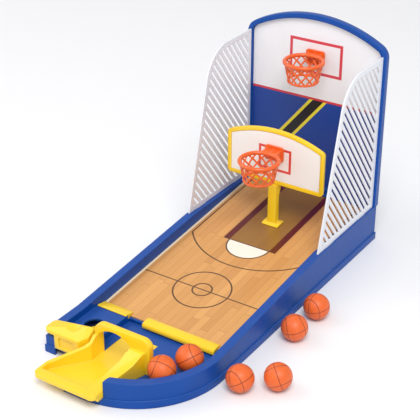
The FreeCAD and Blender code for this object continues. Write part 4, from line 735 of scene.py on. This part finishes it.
def makeBalls(look):
    # Balls with a skin point on each vertex, so that one finish turns with each ball.
    for number, turn in enumerate(look["turns"], start=1):
        node = f"ball_{number}"
        low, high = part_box(node)
        middle = (low + high) / 2
        radius = (high.z - low.z) / 2
        shell = bmesh.new()
        bmesh.ops.create_cube(shell, size=2.0)
        bmesh.ops.subdivide_edges(shell, edges=shell.edges, cuts=look["divisions"] - 1, use_grid_fill=True)
        mesh = bpy.data.meshes.new(f"ballSkin{number}")
        for vertex in shell.verts:
            vertex.co.normalize()
        bmesh.ops.recalc_face_normals(shell, faces=shell.faces)
        shell.to_mesh(mesh)
        shell.free()
        skin = mesh.attributes.new("ballPoint", "FLOAT_VECTOR", "POINT")
        aboutX, aboutY, aboutZ = (
            Matrix.Rotation(math.radians(degrees), 3, axis) for degrees, axis in zip(turn, "XYZ"))
        rotation = aboutX @ aboutY @ aboutZ
        for vertex in mesh.vertices:
            local = vertex.co.copy()
            skin.data[vertex.index].vector = local
            bowed = abs(abs(local.x) - look["seamAt"] - look["seamBow"] * local.z ** 2)
            away = min(abs(local.y), abs(local.z), bowed)
            dip = 1 - look["seamDip"] * max(0.0, 1 - away / look["seamWidth"])
            vertex.co = middle + (rotation @ local) * radius * dip
        mesh.shade_smooth()
        addPiece(mesh, f"gameBall{number}", node, finishes["ballSkin"], (node,))


def runTree(tree, title, spots=(), **values):
    # Evaluate a Geometry Nodes tree, on loose points where there are any, into a plain mesh.
    mesh = bpy.data.meshes.new("holder")
    mesh.from_pydata(spots, [], [])
    holder = bpy.data.objects.new("holder", mesh)
    bpy.context.scene.collection.objects.link(holder)
    modifier = holder.modifiers.new("nodes", "NODES")
    modifier.node_group = tree
    wanted = {name.replace("_", " "): value for name, value in values.items()}
    for socket in tree.interface.items_tree:
        if socket.in_out == "INPUT" and socket.name in wanted:
            modifier[socket.identifier] = wanted[socket.name]
    mesh = plainCopy(holder)
    mesh.name = title
    return mesh


def addSlab(shell, outline, low, high, axis):
    # A flat slab between two levels of one axis, from an outline of (first, second) in the other two axes.
    def spot(first, second, level):
        return {"x": (level, first, second), "y": (first, level, second), "z": (first, second, level)}[axis]

    bottom = [shell.verts.new(spot(first, second, low)) for first, second in outline]
    top = [shell.verts.new(spot(first, second, high)) for first, second in outline]
    shell.faces.new(bottom)
    shell.faces.new(top)
    for number, (below, above) in enumerate(zip(bottom, top)):
        after = (number + 1) % len(outline)
        shell.faces.new((below, bottom[after], top[after], above))


def arcOutline(across, up, radius, start, end, step):
    # Points on an arc, from one angle to another in degrees.
    angles = [math.radians(angle) for angle in range(start, end, step)]
    return [(across + radius * math.cos(angle), up + radius * math.sin(angle)) for angle in angles]


def roundedOutline(left, low, right, high, radius, step=18):
    spots = []
    for across, up, start in ((right - radius, high - radius, 0), (left + radius, high - radius, 90),
                              (left + radius, low + radius, 180), (right - radius, low + radius, 270)):
        spots += arcOutline(across, up, radius, start, start + 91, step)
    return spots


hoopLook = {
    "ringRadius": 18.4 * mm, "ringThickness": 2.0 * mm, "ringPoints": 72, "ringSides": 20,
    "bottomRadius": 14.5 * mm, "bottomThicker": 1.25, "bottomSides": 10, "netDrop": 19.2 * mm,
    "strand": 0.85 * mm, "strands": 12, "twist": 0.1667, "firstStrand": 0.25, "strandPoints": 20,
    "strandSides": 8, "plateWidth": 20 * mm, "plateHeight": 15 * mm, "plateThick": 2.0 * mm,
    "plateRise": 4.5 * mm, "corner": 2.4 * mm, "backGap": 0.125 * mm,
    # ribs and web, as shares of the plate's half width, height and thickness
    "ribThick": 1.8 * mm, "ribAt": 0.72, "ribFoot": 0.52, "ribRise": (0.7, 0.9), "ribFall": 0.6,
    "webFront": 15.2 * mm, "webRear": 0.8, "webFall": 0.35, "webRise": 0.45,
    "pegRadius": 2.25 * mm, "pegDrops": (0.0, 7.5 * mm), "pegStep": 20, "sharpAngle": 40.0,
    # title: the CAD hoop, and the card that its plate stands before
    "hoops": {
        "lowerHoopMoulding": ("lower_hoop", "lower_board"),
        "upperHoopMoulding": ("upper_hoop", "back_card"),
    },
}


def finishTree(tree, geometry, given, result):
    # Every tree ends with real geometry in its own finish.
    real = addNode(tree, "GeometryNodeRealizeInstances", {"Geometry": geometry}).outputs[0]
    painted = addNode(tree, "GeometryNodeSetMaterial", {"Geometry": real, "Material": given["Material"]})
    feed(tree, result["Geometry"], painted.outputs[0])


def makeNetTree(look):
    # Geometry Nodes: a ring, slanted strands both ways down to a smaller ring, all as moulded rod.
    tree, given, result = newGroup(
        "hoopNet", "GeometryNodeTree",
        [("Geometry", "Geometry"), ("Ring Radius", "Float"), ("Ring Thickness", "Float"),
         ("Bottom Radius", "Float"), ("Drop", "Float"), ("Strand Thickness", "Float"), ("Strands", "Int"),
         ("Twist", "Float"), ("Material", "Material")],
        [("Geometry", "Geometry")],
    )

    def rod(curve, radius, sides):
        profile = addNode(tree, "GeometryNodeCurvePrimitiveCircle", {"Resolution": sides, "Radius": radius})
        return addNode(tree, "GeometryNodeCurveToMesh", {
            "Curve": curve, "Profile Curve": profile.outputs[0], "Fill Caps": True}).outputs[0]

    def circle(radius, lift):
        curve = addNode(tree, "GeometryNodeCurvePrimitiveCircle", {
            "Resolution": look["ringPoints"], "Radius": radius}).outputs[0]
        shift = addNode(tree, "ShaderNodeCombineXYZ", {"Z": lift}).outputs[0]
        return addNode(tree, "GeometryNodeTransform", {"Geometry": curve, "Translation": shift}).outputs[0]

    pieces = [rod(circle(given["Ring Radius"], 0.0), given["Ring Thickness"], look["ringSides"])]
    drop = calc(tree, "MULTIPLY", given["Drop"], -1.0)
    bottomThickness = calc(tree, "MULTIPLY", given["Strand Thickness"], look["bottomThicker"])
    pieces.append(rod(circle(given["Bottom Radius"], drop), bottomThickness, look["bottomSides"]))
    points = addNode(tree, "GeometryNodePoints", {"Count": given["Strands"]}).outputs[0]
    index = addNode(tree, "GeometryNodeInputIndex").outputs[0]
    step = calc(tree, "DIVIDE", 2 * math.pi, given["Strands"])
    for reverse in (False, True):
        spiral = addNode(tree, "GeometryNodeCurveSpiral", {
            "Resolution": look["strandPoints"], "Rotations": given["Twist"],
            "Start Radius": given["Ring Radius"], "End Radius": given["Bottom Radius"],
            "Height": drop, "Reverse": reverse,
        }).outputs[0]
        strand = rod(spiral, given["Strand Thickness"], look["strandSides"])
        angle = calc(tree, "MULTIPLY", calc(tree, "ADD", index, look["firstStrand"]), step)
        turn = addNode(tree, "ShaderNodeCombineXYZ", {"Z": angle}).outputs[0]
        pieces.append(addNode(tree, "GeometryNodeInstanceOnPoints", {
            "Points": points, "Instance": strand, "Rotation": turn}).outputs[0])
    joined = addNode(tree, "GeometryNodeJoinGeometry")
    for piece in pieces:
        tree.links.new(piece, joined.inputs[0])
    finishTree(tree, joined.outputs[0], given, result)
    return tree


def addHoopArm(shell, look, front, top, wall, pegEnd):
    # Back plate, three ribs, a web between them and the pegs behind.
    half, thick, ringRadius = look["plateWidth"] / 2, look["plateThick"], look["ringRadius"]
    plateTop = top + look["plateRise"]
    plate = roundedOutline(-half, plateTop - look["plateHeight"], half, plateTop, look["corner"])
    addSlab(shell, plate, wall - thick, wall, "y")
    inPlate = wall - thick / 2
    ribSpread = half * look["ribAt"]
    for middle in (-ribSpread, 0.0, ribSpread):
        edge = front + math.sqrt(ringRadius ** 2 - middle ** 2)
        frontRise, rearRise = (thick * rise for rise in look["ribRise"])
        rib = [(edge, top + frontRise), (edge, top - thick * look["ribFall"]),
               (inPlate, top - look["plateHeight"] * look["ribFoot"]), (inPlate, top + rearRise)]
        addSlab(shell, rib, middle - look["ribThick"] / 2, middle + look["ribThick"] / 2, "x")
    webFront, webRear = front + look["webFront"], half * look["webRear"]
    web = [(-ribSpread, webFront), (ribSpread, webFront), (webRear, inPlate), (-webRear, inPlate)]
    addSlab(shell, web, top - thick * look["webFall"], top + thick * look["webRise"], "z")
    for drop in look["pegDrops"]:
        peg = arcOutline(0.0, top - drop, look["pegRadius"], 0, 360, look["pegStep"])
        addSlab(shell, peg, inPlate, pegEnd, "y")


def makeHoops(look):
    tree = makeNetTree(look)
    for title, (node, card) in look["hoops"].items():
        low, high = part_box(node)
        front = low.y + look["ringRadius"] + look["ringThickness"]
        top = high.z - look["plateRise"]
        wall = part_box(card)[0].y - look["backGap"]
        mesh = runTree(
            tree, title, Ring_Radius=look["ringRadius"], Ring_Thickness=look["ringThickness"],
            Bottom_Radius=look["bottomRadius"], Drop=look["netDrop"], Strand_Thickness=look["strand"],
            Strands=look["strands"], Twist=look["twist"], Material=finishes["orangePlastic"],
        )
        shell = bmesh.new()
        shell.from_mesh(mesh)
        for vertex in shell.verts:
            vertex.co += Vector((0, front, top))
        addHoopArm(shell, look, front, top, wall, high.y)
        bmesh.ops.recalc_face_normals(shell, faces=shell.faces)
        shell.to_mesh(mesh)
        shell.free()
        smoothBetween(mesh, look["sharpAngle"])
        addPiece(mesh, title, "game", finishes["orangePlastic"], (node,))


screwLook = {
    "headRadius": 2.6 * mm, "headHeight": 1.3 * mm, "headFall": 0.86, "rings": 14, "sides": 48,
    "slotReach": 1.55 * mm, "slotHalf": 0.3 * mm, "slotDepth": 0.6 * mm, "shankRadius": 1.2 * mm,
    "shankStep": 20, "sharpAngle": 35.0, "seed": 7,
    # title: the CAD screws, the axis that they lie along, and the turn of their heads
    "groups": {
        "carrierScrewHeads": ("carrier_screws", "z", (math.pi, 0.0, 0.0)),
        "chuteScrewHeads": ("chute_screws", "z", (math.pi, 0.0, 0.0)),
        "boardScrewHeads": ("board_screws", "y", (-math.pi / 2, 0.0, 0.0)),
        "hoopScrewHeads": ("hoop_screws", "y", (-math.pi / 2, 0.0, 0.0)),
    },
}


def makeScrewMesh(look):
    # A pan head with a cross recess: rings of vertices, pushed down inside the cross.
    rings, sides = look["rings"], look["sides"]
    radius, slotHalf, slotReach = look["headRadius"], look["slotHalf"], look["slotReach"]
    angles = [2 * math.pi * side / sides for side in range(sides)]
    shell = bmesh.new()

    def level(distance, angle):
        top = look["headHeight"] * math.sqrt(1 - (distance / radius) ** 4 * look["headFall"])
        x, y = abs(distance * math.cos(angle)), abs(distance * math.sin(angle))
        inCross = (x < slotHalf and y < slotReach) or (y < slotHalf and x < slotReach)
        return top - (look["slotDepth"] if inCross else 0)

    def addRing(distance, flat=False):
        return [shell.verts.new((distance * math.cos(angle), distance * math.sin(angle),
                                 0 if flat else level(distance, angle))) for angle in angles]

    middle = shell.verts.new((0, 0, level(0, 0)))
    loops = [addRing(radius * ring / rings) for ring in range(1, rings + 1)]
    loops.append(addRing(radius, flat=True))
    for side in range(sides):
        after = (side + 1) % sides
        shell.faces.new((middle, loops[0][side], loops[0][after]))
        for inner, outer in zip(loops, loops[1:]):
            shell.faces.new((inner[side], outer[side], outer[after], inner[after]))
    shell.faces.new(list(reversed(loops[-1])))
    bmesh.ops.recalc_face_normals(shell, faces=shell.faces)
    mesh = bpy.data.meshes.new("screwHead")
    shell.to_mesh(mesh)
    shell.free()
    smoothBetween(mesh, look["sharpAngle"])
    return mesh


def makeScrewTree():
    # Geometry Nodes: the screw head on each point of a mesh, each turned by its own share of a quarter.
    tree, given, result = newGroup(
        "screwRow", "GeometryNodeTree",
        [("Geometry", "Geometry"), ("Screw", "Object"), ("Tilt", "Vector"), ("Seed", "Int"),
         ("Material", "Material")],
        [("Geometry", "Geometry")],
    )
    head = addNode(tree, "GeometryNodeObjectInfo", {"Object": given["Screw"]}).outputs["Geometry"]
    # sockets 2 and 3 are the least and the greatest number, and output 1 the number drawn
    spin = addNode(tree, "FunctionNodeRandomValue", {2: 0.0, 3: math.pi / 2, "Seed": given["Seed"]},
                   data_type="FLOAT").outputs[1]
    turned = addNode(tree, "ShaderNodeCombineXYZ", {"Z": spin}).outputs[0]
    heads = addNode(tree, "GeometryNodeInstanceOnPoints", {
        "Points": given["Geometry"], "Instance": head, "Rotation": given["Tilt"]}).outputs[0]
    heads = addNode(tree, "GeometryNodeRotateInstances", {"Instances": heads, "Rotation": turned}).outputs[0]
    finishTree(tree, heads, given, result)
    return tree


def looseBoxes(node):
    # Box of each loose screw in a CAD group, in the group's own order.
    shell = bmesh.new()
    shell.from_mesh(cadNodes[node].data)
    bmesh.ops.remove_doubles(shell, verts=shell.verts, dist=mergeDistance)
    left = set(shell.verts)
    boxes = []
    for first in shell.verts:
        if first not in left:
            continue
        left.discard(first)
        stack, found = [first], []
        while stack:
            vertex = stack.pop()
            found.append(vertex.co.copy())
            for edge in vertex.link_edges:
                other = edge.other_vert(vertex)
                if other in left:
                    left.discard(other)
                    stack.append(other)
        low = Vector([min(spot[axis] for spot in found) for axis in range(3)])
        high = Vector([max(spot[axis] for spot in found) for axis in range(3)])
        boxes.append((low, high))
    shell.free()
    return boxes


def makeScrews(look):
    head = bpy.data.objects.new("screwPattern", makeScrewMesh(look))
    bpy.context.scene.collection.objects.link(head)
    tree = makeScrewTree()
    for title, (node, way, tilt) in look["groups"].items():
        spots, shanks = [], []
        for low, high in looseBoxes(node):
            middle = (low + high) / 2
            if way == "z":
                under = low.z + look["headHeight"]
                spots.append((middle.x, middle.y, under))
                shanks.append((middle.x, middle.y, under, high.z))
            else:
                under = high.y - look["headHeight"]
                spots.append((middle.x, under, middle.z))
                shanks.append((middle.x, middle.z, low.y, under))
        mesh = runTree(tree, title, spots, Screw=head, Tilt=tilt, Seed=look["seed"],
                       Material=finishes["steel"])
        shell = bmesh.new()
        shell.from_mesh(mesh)
        for across, up, low, high in shanks:
            shank = arcOutline(across, up, look["shankRadius"], 0, 360, look["shankStep"])
            addSlab(shell, shank, low, high, way)
        bmesh.ops.recalc_face_normals(shell, faces=shell.faces)
        shell.to_mesh(mesh)
        shell.free()
        addPiece(mesh, title, "game", finishes["steel"], (node,))
    bpy.data.objects.remove(head)


dressNodes(plainLook)
print("plain pieces dressed:", len(plainLook))
makeSoftEdged(softLook, softening)
print("soft-edged mouldings made:", len(softLook))
makePadSpring(springLook)
print("spring made")
makeBalls(ballLook)
print("balls made")
makeHoops(hoopLook)
print("hoops and nets made")
makeScrews(screwLook)
print("screws made")
